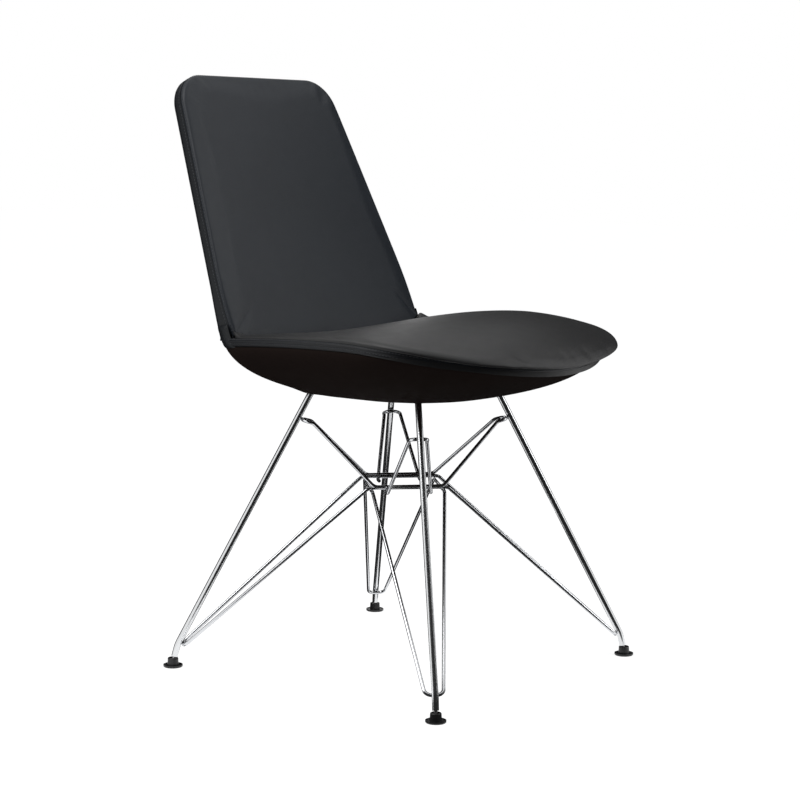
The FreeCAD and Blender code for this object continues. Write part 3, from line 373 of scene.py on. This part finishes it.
def closedInside(piece, drop):
    # The open rim is drawn inwards and closed inside the seat
    makeActive(piece)
    bpy.ops.object.mode_set(mode="EDIT")
    bpy.ops.mesh.select_all(action="DESELECT")
    bpy.ops.mesh.select_mode(type="EDGE")
    bpy.ops.mesh.select_non_manifold(extend=False)
    bpy.ops.mesh.extrude_region_move(TRANSFORM_OT_translate={"value": drop})
    bpy.ops.mesh.extrude_region_move()
    bpy.ops.mesh.merge(type="CENTER")
    bpy.ops.mesh.select_all(action="SELECT")
    bpy.ops.mesh.normals_make_consistent(inside=False)
    bpy.ops.object.mode_set(mode="OBJECT")


# Underside and band: loops round the bowl, from the middle of its flat foot up to the seam

hull = {"around": 160, "flatRows": 5, "rows": 26, "rowSpread": 1.4, "lipInwards": 0.004, "lipRise": 0.001,
        "skin": 0.002}


def onHull(u, v):
    share = (u + 1) / 2 % 1
    row = round((v + 1) / 2 * hull["rows"])
    foot = seatOutline(share, seat["footHeight"])
    if row < hull["flatRows"]:
        flat = foot * (row / hull["flatRows"])
        return inRow(flat.x, flat.y, seat["footHeight"])
    rise = ((row - hull["flatRows"]) / (hull["rows"] - 1 - hull["flatRows"])) ** hull["rowSpread"]
    lip = onBowl(share, seat["band"])
    if rise > 1:
        inwards = Vector((-lip.x, -lip.y, 0)).normalized()
        return inRow(*(lip + inwards * hull["lipInwards"] + Vector((0, 0, hull["lipRise"]))))
    height = mix(seat["footHeight"], lip.z, rise)
    point = seatOutline(share, height)
    return inRow(point.x, point.y, height)


underside = laidGrid("seat_underside_leather", hull["around"], hull["rows"], onHull)
closeSeams(underside)
applied(underside, "SUBSURF", levels=1, render_levels=1)

band = {"around": 320, "rows": 22, "stitchLow": 0.0043, "stitchHigh": 0.0100, "groove": 0.0009,
        "grooveWidth": 0.0011, "bulge": 0.0009, "tuck": 0.004, "hem": 0.001}


def bandProfile(above):
    # How far the band stands out at a height over its lower seam
    share = above / seat["band"]
    out = band["bulge"] * math.sin(math.pi * min(max(share, 0), 1)) ** 0.5
    for row in (0, band["stitchLow"], band["stitchHigh"]):
        out -= band["groove"] * math.exp(-((above - row) / band["grooveWidth"]) ** 2)
    return out


def besideBowl(share, below, out):
    # Point that stands out level from the bowl, at a distance below the seam
    point = onBowl(share, below)
    outwards = -inwardsOf(lambda at: seatOutline(at, seat["fullHeight"]), share)
    return inRow(point.x + outwards.x * out, point.y + outwards.y * out, point.z)


def onBand(u, v):
    row = round((v + 1) / 2 * band["rows"])
    last = band["rows"] - 2
    above = seat["band"] * min(max((row - 1) / (last - 1), 0), 1)
    out = bandProfile(above)
    if row == 0:
        out = -band["tuck"]
    if row > last:
        out = -band["tuck"] * (row - last) - band["hem"]
    return besideBowl((u + 1) / 2 % 1, seat["band"] - above, out)


seatBand = laidGrid("seat_band_leather", band["around"], band["rows"], onBand)
closeSeams(seatBand)
print("underside and band laid")

# Back: its front panel lies in its own plane, leaned back about the crease

back = {
    "foot": 0.0140, "half": 0.2075, "shoulder": 0.081, "shoulderRadius": 0.5,
    "halfTop": 0.1615, "top": 0.402, "corner": 0.052, "crown": 0.003,
    "depth": 0.0276, "footDepth": 0.036, "flare": 0.110,
    "seam": 0.009, "frontRoll": 0.007, "rearRoll": 0.009, "cells": 64, "edgeRings": 8, "sewnShare": 0.7,
    "rollStages": 1.25, "sideTurn": 0.67, "crownFullness": 0.7, "hemInwards": 0.003, "hem": 0.001,
    "coverAround": 256, "coverRows": 26, "coverSideRows": 8, "coverRollRows": 6,
    "middle": 0.200, "tuck": 0.009, "overSeam": -0.003, "flap": 0.014,
    "pressure": 3.0, "mostSwell": 0.002, "drop": (0, 0.002, 0),
}
slant = Vector((back["halfTop"] - back["half"], back["top"] - back["shoulder"])).normalized()
lean = math.atan2(-slant.x, slant.y)
shoulderRun = back["shoulderRadius"] * math.tan(lean / 2)
cornerRun = back["corner"] * math.tan((math.pi / 2 - lean) / 2)
shoulderPoint = Vector((back["half"], back["shoulder"]))
topPoint = Vector((back["halfTop"], back["top"]))
backStops = [0, 0.125, 0.16, 0.21, 0.335, 0.415, 0.5]
shoulderCentre = (back["half"] - back["shoulderRadius"], back["shoulder"] - shoulderRun)
cornerCentre = (back["halfTop"] - cornerRun, back["top"] - back["corner"])
backParts = [
    (Vector((0, back["foot"])), Vector((back["half"], back["foot"]))),
    (Vector((back["half"], back["foot"])), shoulderPoint - Vector((0, shoulderRun))),
    (shoulderCentre, back["shoulderRadius"], 0, lean),
    (shoulderPoint + slant * shoulderRun, topPoint - slant * cornerRun),
    (cornerCentre, back["corner"], lean, math.pi / 2),
    (Vector((cornerCentre[0], back["top"])), Vector((0, back["top"]))),
]


def backOutline(share):
    return onOutline(backParts, backStops, share)


def panelOutline(share):
    # The front panel's foot follows the crease and is tucked into it
    point = backOutline(share)
    if backStops[1] < share < 1 - backStops[1]:
        return point
    reach = point.x / back["half"] * halfWidthAt(seat["curlEnd"])
    creaseTop = seatTop(reach, creaseDepthAt(reach))
    return Vector((point.x, (creaseTop - seat["creaseHeight"]) / math.cos(recline) - back["tuck"]))


def onBack(x, up, forward):
    y = seat["creaseDepth"] + up * math.sin(recline) - forward * math.cos(recline)
    z = seat["creaseHeight"] + up * math.cos(recline) + forward * math.sin(recline)
    return inRow(x, y, z)


def panelCrown(x, up):
    length = min(max((up - back["foot"]) / (back["top"] - back["foot"]), 0), 1)
    return back["crown"] * math.sin(math.pi * length) ** back["crownFullness"] * (1 - (x / back["half"]) ** 2)


def backInwards(share):
    half = min(share, 1 - share)
    if abs(half - backStops[1]) < cornerReach:
        side = 1 if share <= 0.5 else -1
        return Vector((-side, 1)).normalized()
    return inwardsOf(backOutline, share)


backRings = back["cells"] // 2


def onPanel(u, v):
    ring, share = onSquare(u, v)
    number = round(ring * backRings)
    plain = backRings - back["edgeRings"]
    edge = panelOutline(share)
    inwards = backInwards(share)
    start = edge + inwards * back["frontRoll"]
    if number <= plain:
        flat = Vector((0, back["middle"])).lerp(start, number / plain)
        return onBack(flat.x, flat.y, panelCrown(flat.x, flat.y))
    stage = (number - plain) / back["edgeRings"] * 2
    roll = back["frontRoll"]
    if stage <= back["rollStages"]:
        turn = stage / back["rollStages"] * math.pi / 2
        flat = edge + inwards * roll * (1 - math.sin(turn))
        rise = mix(-roll, panelCrown(start.x, start.y), math.cos(turn))
        return onBack(flat.x, flat.y, rise)
    down = (stage - back["rollStages"]) / (2 - back["rollStages"])
    if down <= back["sideTurn"]:
        return onBack(edge.x, edge.y, mix(-roll, -back["seam"], down / back["sideTurn"]))
    flat = edge + inwards * back["hemInwards"]
    return onBack(flat.x, flat.y, -back["seam"] - back["hem"])


sewnFrom = 1 - back["edgeRings"] * back["sewnShare"] / backRings
backPanel = laidGrid("back_front_leather", back["cells"], back["cells"], onPanel, sewnFrom)


def coverDepth(up):
    return mix(back["depth"], back["footDepth"], soften((back["flare"] - up) / back["flare"]))


def aboveSeam(x, up, forward):
    # The cover ends on the band's top edge, wherever its outline would sink lower
    point = onBack(x, up, forward)
    least = seamHeight(point.y - axisDepth) + back["overSeam"]
    if point.z < least:
        point = onBack(x, up + (least - point.z) / math.cos(recline), forward)
    return point


def onCover(u, v):
    # Rows run from the seam at the side, over the rear edge, to the middle of the rear panel
    share = (u + 1) / 2 % 1
    row = round((v + 1) / 2 * back["coverRows"])
    edge = backOutline(share)
    if share < backStops[1] or share > 1 - backStops[1]:
        edge = Vector((edge.x, 0))
    inwards = backInwards(share)
    depth = coverDepth(edge.y)
    roll = back["rearRoll"]
    sideRows, rollRows = back["coverSideRows"], back["coverRollRows"]
    if row == 0:
        flat = edge + inwards * back["flap"]
        return aboveSeam(flat.x, flat.y, -back["seam"] - back["hem"])
    if row <= sideRows:
        behind = mix(back["seam"], depth - roll, (row - 1) / (sideRows - 1))
        return aboveSeam(edge.x, edge.y, -behind)
    if row <= sideRows + rollRows:
        turn = (row - sideRows) / rollRows * math.pi / 2
        flat = edge + inwards * roll * (1 - math.cos(turn))
        return aboveSeam(flat.x, flat.y, -(depth - roll) - roll * math.sin(turn))
    inner = (row - sideRows - rollRows) / (back["coverRows"] - sideRows - rollRows)
    start = edge + inwards * roll
    flat = start.lerp(Vector((0, back["middle"])), inner)
    return aboveSeam(flat.x, flat.y, -coverDepth(flat.y))


backCover = laidGrid("back_cover_leather", back["coverAround"], back["coverRows"], onCover)
closeSeams(backCover)
print("back laid")

# Soft finish: the pads swell a little between their sewn edges, and are then closed inside the seat

leatherSpring = {"stretch": 40, "bend": 2, "frames": 20}


def swollen(piece, pressure, mostSwell):
    before = [vertex.co.copy() for vertex in piece.data.vertices]
    makeActive(piece)
    cloth = piece.modifiers.new("Cloth", "CLOTH")
    cloth.settings.use_pressure = True
    cloth.settings.uniform_pressure_force = pressure
    cloth.settings.vertex_group_mass = "sewn"
    cloth.settings.effector_weights.gravity = 0
    cloth.settings.tension_stiffness = cloth.settings.compression_stiffness = leatherSpring["stretch"]
    cloth.settings.bending_stiffness = leatherSpring["bend"]
    for number in range(leatherSpring["frames"]):
        bpy.context.scene.frame_set(number + 1)
    bpy.ops.object.modifier_apply(modifier="Cloth")
    bpy.context.scene.frame_set(1)
    for vertex, start in zip(piece.data.vertices, before):
        moved = vertex.co - start
        if moved.length > mostSwell:
            vertex.co = start + moved.normalized() * mostSwell


for piece, pad in ((seatCushion, cushion), (backPanel, back)):
    closeSeams(piece)
    swollen(piece, pad["pressure"], pad["mostSwell"])
    piece.vertex_groups.clear()
    applied(piece, "SUBSURF", levels=1, render_levels=1)
    closedInside(piece, pad["drop"])

# Foot of the back cover: a strip that runs down over the band, from one rear corner of the seat to the other

coverFoot = {"startDepth": 0.134, "raise": 0.017, "past": 0.003, "proud": 0.0011, "tuck": 0.0015,
             "endSharpness": 60, "edgeSharpness": 10, "columns": 160, "rows": 14}
rearShares = [number / 2000 for number in range(400, 1000)]
footStart = min(rearShares, key=lambda share: abs(onBowl(share, 0).y - coverFoot["startDepth"]))


def onFoot(u, v):
    share = mix(footStart, 1 - footStart, (u + 1) / 2)
    drop = mix(seat["band"] + coverFoot["past"], -coverFoot["raise"], (v + 1) / 2)
    hem = max(abs(u) ** coverFoot["endSharpness"], abs(v) ** coverFoot["edgeSharpness"])
    out = mix(bandProfile(band["stitchLow"]) + coverFoot["proud"], -coverFoot["tuck"], hem)
    rise = max(-drop, 0)
    return besideBowl(share, max(drop, 0), out) + Vector((0, rise * math.tan(recline), rise))


backFoot = laidGrid("back_foot_leather", coverFoot["columns"], coverFoot["rows"], onFoot)

# Fold in the underside's leather beside the front right leg, and the swelling where each leg goes in

creases = {"foldStart": (-0.128, -0.098), "foldEnd": (-0.170, -0.135), "foldDepth": 0.0035,
           "foldWidth": 0.004, "foldFade": 0.15, "legX": 0.098, "legY": 0.096, "bulge": 0.0025,
           "bulgeWidth": 0.016}
foldStart, foldEnd = Vector(creases["foldStart"]), Vector(creases["foldEnd"])
legPlaces = []
for corner in ("front_right", "front_left", "rear_right", "rear_left"):
    low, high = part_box("leg_" + corner)
    legX = math.copysign(creases["legX"], low.x + high.x)
    legY = math.copysign(creases["legY"], low.y + high.y - 2 * axisDepth)
    legPlaces.append(Vector((legX, legY)))


def distanceToRun(point, start, end):
    run = end - start
    share = min(max((point - start).dot(run) / run.length_squared, 0), 1)
    return (point - start - run * share).length, share


facing = [vertex.normal.copy() for vertex in underside.data.vertices]
for vertex, normal in zip(underside.data.vertices, facing):
    flat = Vector((vertex.co.x, vertex.co.y - axisDepth))
    distance, share = distanceToRun(flat, foldStart, foldEnd)
    strength = math.sin(math.pi * mix(creases["foldFade"], 1, share))
    dent = creases["foldDepth"] * math.exp(-(distance / creases["foldWidth"]) ** 2) * strength
    swell = sum(math.exp(-((flat - place).length / creases["bulgeWidth"]) ** 2) for place in legPlaces)
    vertex.co += normal * (creases["bulge"] * min(swell, 1) - dent)
applied(underside, "SOLIDIFY", thickness=hull["skin"], offset=-1)

for piece in (seatCushion, underside, seatBand, backPanel, backCover, backFoot):
    smoothed(piece)
print("leather shaped")


# Shader node groups

def newGroup(name, inputs, outputs):
    group = bpy.data.node_groups.new(name, "ShaderNodeTree")
    for label, value in inputs.items():
        socket = group.interface.new_socket(label, in_out="INPUT", socket_type="NodeSocketFloat")
        socket.default_value = value
    for label in outputs:
        group.interface.new_socket(label, in_out="OUTPUT", socket_type="NodeSocketFloat")
    return group


def addNode(tree, kind, place=(0, 0), **settings):
    node = tree.nodes.new("ShaderNode" + kind)
    node.location = place
    for setting, value in settings.items():
        setattr(node, setting, value)
    return node


def joinUp(tree, pairs):
    for source, target in pairs:
        tree.links.new(source, target)


def makeLeatherGrain():
    # Pebbled grain, fine pores and slow changes of tone
    scales = {"Cell Scale": 900, "Pore Scale": 2600, "Tone Scale": 9}
    group = newGroup("leatherGrain", scales, ["Height", "Tone", "Rub"])
    start = addNode(group, "TexCoord", (-900, 0))
    inlet = group.nodes.new("NodeGroupInput")
    outlet = group.nodes.new("NodeGroupOutput")
    warp = addNode(group, "TexNoise", (-700, 200))
    warp.inputs["Scale"].default_value = 260
    shift = addNode(group, "VectorMath", (-520, 200), operation="MULTIPLY_ADD")
    shift.inputs[1].default_value = (0.0009, 0.0009, 0.0009)
    cells = addNode(group, "TexVoronoi", (-340, 200), feature="DISTANCE_TO_EDGE")
    pores = addNode(group, "TexNoise", (-340, 0))
    pores.inputs["Detail"].default_value = 3
    tone = addNode(group, "TexNoise", (-340, -200))
    tone.inputs["Detail"].default_value = 2
    rub = addNode(group, "TexNoise", (-340, -400))
    rub.inputs["Scale"].default_value = 70
    raised = addNode(group, "MapRange", (-160, 200), interpolation_type="SMOOTHSTEP")
    raised.inputs["From Max"].default_value = 0.32
    both = addNode(group, "Math", (0, 100), operation="MULTIPLY_ADD")
    both.inputs[1].default_value = 0.3
    joinUp(group, [
        (start.outputs["Object"], warp.inputs["Vector"]),
        (warp.outputs["Color"], shift.inputs[0]),
        (start.outputs["Object"], shift.inputs[2]),
        (shift.outputs["Vector"], cells.inputs["Vector"]),
        (start.outputs["Object"], pores.inputs["Vector"]),
        (start.outputs["Object"], tone.inputs["Vector"]),
        (start.outputs["Object"], rub.inputs["Vector"]),
        (inlet.outputs["Cell Scale"], cells.inputs["Scale"]),
        (inlet.outputs["Pore Scale"], pores.inputs["Scale"]),
        (inlet.outputs["Tone Scale"], tone.inputs["Scale"]),
        (cells.outputs["Distance"], raised.inputs["Value"]),
        (pores.outputs["Fac"], both.inputs[0]),
        (raised.outputs["Result"], both.inputs[2]),
        (both.outputs["Value"], outlet.inputs["Height"]),
        (tone.outputs["Fac"], outlet.inputs["Tone"]),
        (rub.outputs["Fac"], outlet.inputs["Rub"]),
    ])
    return group


def makeFineSpeckle():
    # Slow smears and fine specks, for metal, plastic and paint
    group = newGroup("fineSpeckle", {"Smear Scale": 30, "Speck Scale": 1800}, ["Smear", "Speck"])
    start = addNode(group, "TexCoord", (-600, 0))
    inlet = group.nodes.new("NodeGroupInput")
    outlet = group.nodes.new("NodeGroupOutput")
    smear = addNode(group, "TexNoise", (-300, 100))
    smear.inputs["Detail"].default_value = 4
    speck = addNode(group, "TexNoise", (-300, -100))
    joinUp(group, [
        (start.outputs["Object"], smear.inputs["Vector"]),
        (start.outputs["Object"], speck.inputs["Vector"]),
        (inlet.outputs["Smear Scale"], smear.inputs["Scale"]),
        (inlet.outputs["Speck Scale"], speck.inputs["Scale"]),
        (smear.outputs["Fac"], outlet.inputs["Smear"]),
        (speck.outputs["Fac"], outlet.inputs["Speck"]),
    ])
    return group


leatherGrain = makeLeatherGrain()
fineSpeckle = makeFineSpeckle()


def newMaterial(name):
    material = bpy.data.materials.new(name)
    material.use_nodes = True
    tree = material.node_tree
    return material, tree, tree.nodes["Principled BSDF"]


def placeGroup(tree, group, **values):
    node = tree.nodes.new("ShaderNodeGroup")
    node.node_tree = group
    for label, value in values.items():
        node.inputs[label.replace("_", " ")].default_value = value
    return node


def tinted(tree, factor, low, high, target):
    # Colour between two tones
    ramp = addNode(tree, "Mix", data_type="RGBA")
    ramp.inputs["A"].default_value = (*low, 1)
    ramp.inputs["B"].default_value = (*high, 1)
    joinUp(tree, [(factor, ramp.inputs["Factor"]), (ramp.outputs["Result"], target)])


def ranged(tree, value, low, high, target):
    scale = addNode(tree, "MapRange")
    scale.inputs["To Min"].default_value = low
    scale.inputs["To Max"].default_value = high
    joinUp(tree, [(value, scale.inputs["Value"]), (scale.outputs["Result"], target)])


def bumped(tree, height, strength, distance, shader):
    bump = addNode(tree, "Bump")
    bump.inputs["Strength"].default_value = strength
    bump.inputs["Distance"].default_value = distance
    joinUp(tree, [(height, bump.inputs["Height"]), (bump.outputs["Normal"], shader.inputs["Normal"])])


def leather(name, dark, light, gloss, shine):
    material, tree, shader = newMaterial(name)
    grain = placeGroup(tree, leatherGrain, Cell_Scale=900, Pore_Scale=2600, Tone_Scale=9)
    tinted(tree, grain.outputs["Tone"], dark, light, shader.inputs["Base Color"])
    ranged(tree, grain.outputs["Rub"], gloss - 0.05, gloss + 0.06, shader.inputs["Roughness"])
    bumped(tree, grain.outputs["Height"], 0.22, 0.0003, shader)
    shader.inputs["Specular IOR Level"].default_value = shine
    return material


def metal(name, colour, low, high):
    material, tree, shader = newMaterial(name)
    specks = placeGroup(tree, fineSpeckle, Smear_Scale=30)
    shader.inputs["Metallic"].default_value = 1
    dulled = [channel * 0.94 for channel in colour]
    tinted(tree, specks.outputs["Smear"], dulled, colour, shader.inputs["Base Color"])
    ranged(tree, specks.outputs["Smear"], low, high, shader.inputs["Roughness"])
    return material


def plain(name, low, high, gloss, bump=0.1):
    material, tree, shader = newMaterial(name)
    specks = placeGroup(tree, fineSpeckle, Smear_Scale=30, Speck_Scale=1800)
    tinted(tree, specks.outputs["Smear"], low, high, shader.inputs["Base Color"])
    ranged(tree, specks.outputs["Smear"], gloss - 0.05, gloss + 0.05, shader.inputs["Roughness"])
    bumped(tree, specks.outputs["Speck"], bump, 0.0002, shader)
    return material


# One black leather in per-piece copies: the band and cover copies are darker than the seat and back copies,
# which paints the shade that falls on the band and on the back's sides and rear
seatLeather = leather("seatLeather", (0.014, 0.014, 0.0145), (0.020, 0.020, 0.0205), 0.40, 0.4)
backLeather = leather("backLeather", (0.0115, 0.0145, 0.0195), (0.0175, 0.0215, 0.0280), 0.44, 0.32)
coverLeatherPaintedShade = leather("coverLeatherPaintedShade", (0.008, 0.009, 0.011), (0.011, 0.013, 0.015), 0.42, 0.25)
bandLeatherPaintedShade = leather("bandLeatherPaintedShade", (0.009, 0.010, 0.012), (0.013, 0.014, 0.017), 0.38, 0.25)
undersideLeather = leather("undersideLeather", (0.015, 0.010, 0.0085), (0.021, 0.014, 0.012), 0.72, 0.03)
# The stitch thread is a lighter bluish grey than black thread: partly its own colour, partly a painted
# highlight for the light that the stitched seams catch
threadGreyAndPaintedHighlight = plain("threadGreyAndPaintedHighlight", (0.035, 0.038, 0.043), (0.060, 0.066, 0.074), 0.5, 0.4)
legChrome = metal("legChrome", (0.76, 0.77, 0.78), 0.13, 0.18)
wireChrome = metal("wireChrome", (0.72, 0.73, 0.75), 0.15, 0.20)
studSteel = metal("studSteel", (0.55, 0.55, 0.56), 0.25, 0.35)
fastenerSteel = metal("fastenerSteel", (0.50, 0.50, 0.48), 0.3, 0.42)
glidePlastic = plain("glidePlastic", (0.010, 0.010, 0.011), (0.016, 0.016, 0.017), 0.36)
platePaint = plain("platePaint", (0.012, 0.012, 0.012), (0.02, 0.02, 0.02), 0.5, 0.3)


def makeBoardWood():
    # Beech plies: long grain with fine pores
    material, tree, shader = newMaterial("boardWood")
    start = addNode(tree, "TexCoord")
    stretch = addNode(tree, "Mapping")
    stretch.inputs["Scale"].default_value = (12, 1.2, 40)
    grain = addNode(tree, "TexNoise")
    grain.inputs["Scale"].default_value = 6
    grain.inputs["Detail"].default_value = 6
    joinUp(tree, [
        (start.outputs["Object"], stretch.inputs["Vector"]),
        (stretch.outputs["Vector"], grain.inputs["Vector"]),
    ])
    tinted(tree, grain.outputs["Fac"], (0.30, 0.19, 0.10), (0.52, 0.37, 0.22), shader.inputs["Base Color"])
    ranged(tree, grain.outputs["Fac"], 0.5, 0.7, shader.inputs["Roughness"])
    bumped(tree, grain.outputs["Fac"], 0.2, 0.0003, shader)
    return material


boardWood = makeBoardWood()
print("materials made")

# CAD nodes that stay get their finishes
finishes = {
    "leg_": legChrome, "lower_brace_": wireChrome, "upper_brace_": wireChrome, "hairpin_": wireChrome,
    "ball_stud_": studSteel, "glide_": glidePlastic, "mount_plate": platePaint,
    "mount_screws": fastenerSteel, "washers": fastenerSteel, "tee_nuts": fastenerSteel,
    "inner_board": boardWood,
}
for name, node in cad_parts.items():
    for start, material in finishes.items():
        if name.startswith(start):
            for slot in node.material_slots:
                slot.material = material
            if not node.material_slots:
                node.data.materials.append(material)

dressed(seatCushion, seatLeather)
dressed(underside, undersideLeather)
dressed(seatBand, bandLeatherPaintedShade)
dressed(backPanel, backLeather)
dressed(backCover, coverLeatherPaintedShade)
dressed(backFoot, coverLeatherPaintedShade)
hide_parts("seat_cushion")
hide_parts("seat_underside")
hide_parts("seat_band")
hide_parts("back_cushion")
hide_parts("back_cover")

# Topstitching: one stitch, repeated along each sewn line

stitch = {"size": (0.0034, 0.0008, 0.0008), "pitch": 0.0046, "bandPoints": 400, "backPoints": 300,
          "bandEnd": 0.001, "backEnd": 0.012, "onBand": 0.0003, "onBack": 0.0001, "besideSeam": 0.0032}


def stitchAlong(name, points):
    line = bpy.data.curves.new(name + "_line", "CURVE")
    line.dimensions = "3D"
    spline = line.splines.new("POLY")
    spline.points.add(len(points) - 1)
    for spot, point in zip(spline.points, points):
        spot.co = (*point, 1)
    path = bpy.data.objects.new(name + "_line", line)
    bpy.context.scene.collection.objects.link(path)
    deselectAll()
    bpy.ops.mesh.primitive_uv_sphere_add(segments=8, ring_count=6, radius=0.5)
    row = bpy.context.active_object
    row.name = row.data.name = name
    for vertex in row.data.vertices:
        vertex.co = [along * size for along, size in zip(vertex.co, stitch["size"])]
    applied(row, "ARRAY", fit_type="FIT_CURVE", curve=path, use_relative_offset=False,
            use_constant_offset=True, constant_offset_displace=(stitch["pitch"], 0, 0))
    applied(row, "CURVE", object=path)
    bpy.data.objects.remove(path)
    smoothed(row, 60)
    dressed(row, threadGreyAndPaintedHighlight)


def sharesBetween(first, last, count):
    return [mix(first, last, number / (count - 1)) for number in range(count)]


def bandLine(above):
    # Round the seat's front, from one rear corner to the other
    end = seatStops[3] - stitch["bandEnd"]
    out = bandProfile(above) + stitch["onBand"]
    shares = sharesBetween(-end, end, stitch["bandPoints"])
    return [besideBowl(share % 1, seat["band"] - above, out) for share in shares]


def backLine(behind):
    # Up one side of the back, over its top and down the other
    first = backStops[1] + stitch["backEnd"]
    points = []
    for share in sharesBetween(first, 1 - first, stitch["backPoints"]):
        edge = backOutline(share) - backInwards(share) * stitch["onBack"]
        points.append(onBack(edge.x, edge.y, -behind))
    return points


stitchAlong("band_stitches_low", bandLine(band["stitchLow"]))
stitchAlong("band_stitches_high", bandLine(band["stitchHigh"]))
stitchAlong("back_stitches_front", backLine(back["seam"] - stitch["besideSeam"]))
stitchAlong("back_stitches_rear", backLine(back["seam"] + stitch["besideSeam"]))
print("stitched")

# Studio: pale floor, soft lamps, white backdrop, and dark flags that only reflections see

studio = {"floorSize": 30, "floorTone": 0.40, "floorLift": 0.84, "worldFill": 0.42, "photoSide": -143,
          "flagTone": 0.02, "flagNear": 0.05, "flagFar": 0.95, "flagFlat": 0.46, "flagSteepness": 3.8,
          "flagLift": 0.002}


def seenDirectly(tree):
    # 1 for rays from the camera and for reflected and refracted ones, 0 for the light that falls on the chair
    rays = addNode(tree, "LightPath")
    either = addNode(tree, "Math", operation="MAXIMUM")
    seen = addNode(tree, "Math", operation="MAXIMUM")
    joinUp(tree, [
        (rays.outputs["Is Camera Ray"], either.inputs[0]),
        (rays.outputs["Is Glossy Ray"], either.inputs[1]),
        (either.outputs["Value"], seen.inputs[0]),
        (rays.outputs["Is Transmission Ray"], seen.inputs[1]),
    ])
    return seen.outputs["Value"]


def makeFloorPaint():
    material = bpy.data.materials.new("floorPaint")
    material.use_nodes = True
    tree = material.node_tree
    tree.nodes.clear()
    out = addNode(tree, "OutputMaterial")
    matt = addNode(tree, "BsdfDiffuse")
    matt.inputs["Color"].default_value = (*[studio["floorTone"]] * 3, 1)
    lift = addNode(tree, "Emission")
    glow = addNode(tree, "Math", operation="MULTIPLY")
    glow.inputs[1].default_value = studio["floorLift"]
    both = addNode(tree, "AddShader")
    joinUp(tree, [
        (seenDirectly(tree), glow.inputs[0]),
        (glow.outputs["Value"], lift.inputs["Strength"]),
        (matt.outputs["BSDF"], both.inputs[0]),
        (lift.outputs["Emission"], both.inputs[1]),
        (both.outputs["Shader"], out.inputs["Surface"]),
    ])
    return material


deselectAll()
bpy.ops.mesh.primitive_plane_add(size=studio["floorSize"], location=(0, 0, 0))
floor = bpy.context.active_object
floor.name = "studio_floor"
floor.data.materials.append(makeFloorPaint())


def makeBackdrop():
    world = bpy.data.worlds.new("studioWorld")
    bpy.context.scene.world = world
    world.use_nodes = True
    tree = world.node_tree
    tree.nodes.clear()
    out = addNode(tree, "OutputWorld")
    white = addNode(tree, "Background")
    white.inputs["Color"].default_value = (1, 1, 1, 1)
    fill = addNode(tree, "Background")
    fill.inputs["Color"].default_value = (0.95, 0.97, 1, 1)
    fill.inputs["Strength"].default_value = studio["worldFill"]
    either = addNode(tree, "MixShader")
    joinUp(tree, [
        (seenDirectly(tree), either.inputs["Fac"]),
        (fill.outputs["Background"], either.inputs[1]),
        (white.outputs["Background"], either.inputs[2]),
        (either.outputs["Shader"], out.inputs["Surface"]),
    ])


def makeFlagCloth():
    material, tree, shader = newMaterial("flagCloth")
    shader.inputs["Base Color"].default_value = (*[studio["flagTone"]] * 3, 1)
    shader.inputs["Roughness"].default_value = 1
    return material


def addFlag(name, first, last, material):
    # Lies on the floor round the chair and rises outside it; angles are turns from the camera's side
    def onFlag(u, v):
        turn = math.radians(studio["photoSide"] + mix(first, last, (u + 1) / 2))
        out = mix(studio["flagNear"], studio["flagFar"], (v + 1) / 2)
        rise = studio["flagLift"] + studio["flagSteepness"] * max(out - studio["flagFlat"], 0) ** 1.5
        return Vector((out * math.cos(turn), out * math.sin(turn), rise))

    flag = laidGrid(name, 24, 12, onFlag)
    flag.visible_camera = flag.visible_diffuse = flag.visible_shadow = flag.visible_transmission = False
    flag.data.materials.append(material)


makeBackdrop()
flagCloth = makeFlagCloth()
for name, first, last in (("flag_front", -38, 84), ("flag_left", -172, -88), ("flag_right", 112, 178)):
    addFlag(name, first, last, flagCloth)


def addLamp(name, place, aim, width, height, power):
    lamp = bpy.data.lights.new(name, "AREA")
    lamp.shape = "RECTANGLE"
    lamp.size, lamp.size_y = width, height
    lamp.energy = power
    holder = bpy.data.objects.new(name, lamp)
    bpy.context.scene.collection.objects.link(holder)
    holder.location = place
    holder.rotation_euler = (Vector(aim) - Vector(place)).to_track_quat("-Z", "Y").to_euler()


addLamp("keyLamp", (-1.6, 0.6, 2.4), (0, 0, 0.45), 1.6, 1.6, 30)
addLamp("sideLamp", (1.2, -2.4, 1.6), (0, 0, 0.4), 1.2, 1.6, 24)

# Camera at the photograph's angle

view = {"azimuth": -53.11, "elevation": 6.907, "roll": 0.627, "distance": 2.9168, "lens": 94.17,
        "aim": (-0.00414, 0.00552, 0.3712)}


def placeCamera():
    turn, rise, roll = (math.radians(view[key]) for key in ("azimuth", "elevation", "roll"))
    backwards = Vector((math.sin(turn) * math.cos(rise), -math.cos(turn) * math.cos(rise), math.sin(rise)))
    level = Vector((math.cos(turn), math.sin(turn), 0))
    upright = backwards.cross(level)
    right = level * math.cos(roll) + upright * math.sin(roll)
    up = upright * math.cos(roll) - level * math.sin(roll)
    place = inRow(*view["aim"]) + backwards * view["distance"]
    lens = bpy.data.cameras.new("photoCamera")
    lens.lens = view["lens"]
    lens.sensor_width = 36
    camera = bpy.data.objects.new("photoCamera", lens)
    bpy.context.scene.collection.objects.link(camera)
    camera.matrix_world = Matrix((right, up, backwards)).transposed().to_4x4()
    camera.location = place
    bpy.context.scene.camera = camera


placeCamera()
bpy.context.scene.view_settings.view_transform = "Standard"
print("studio set")
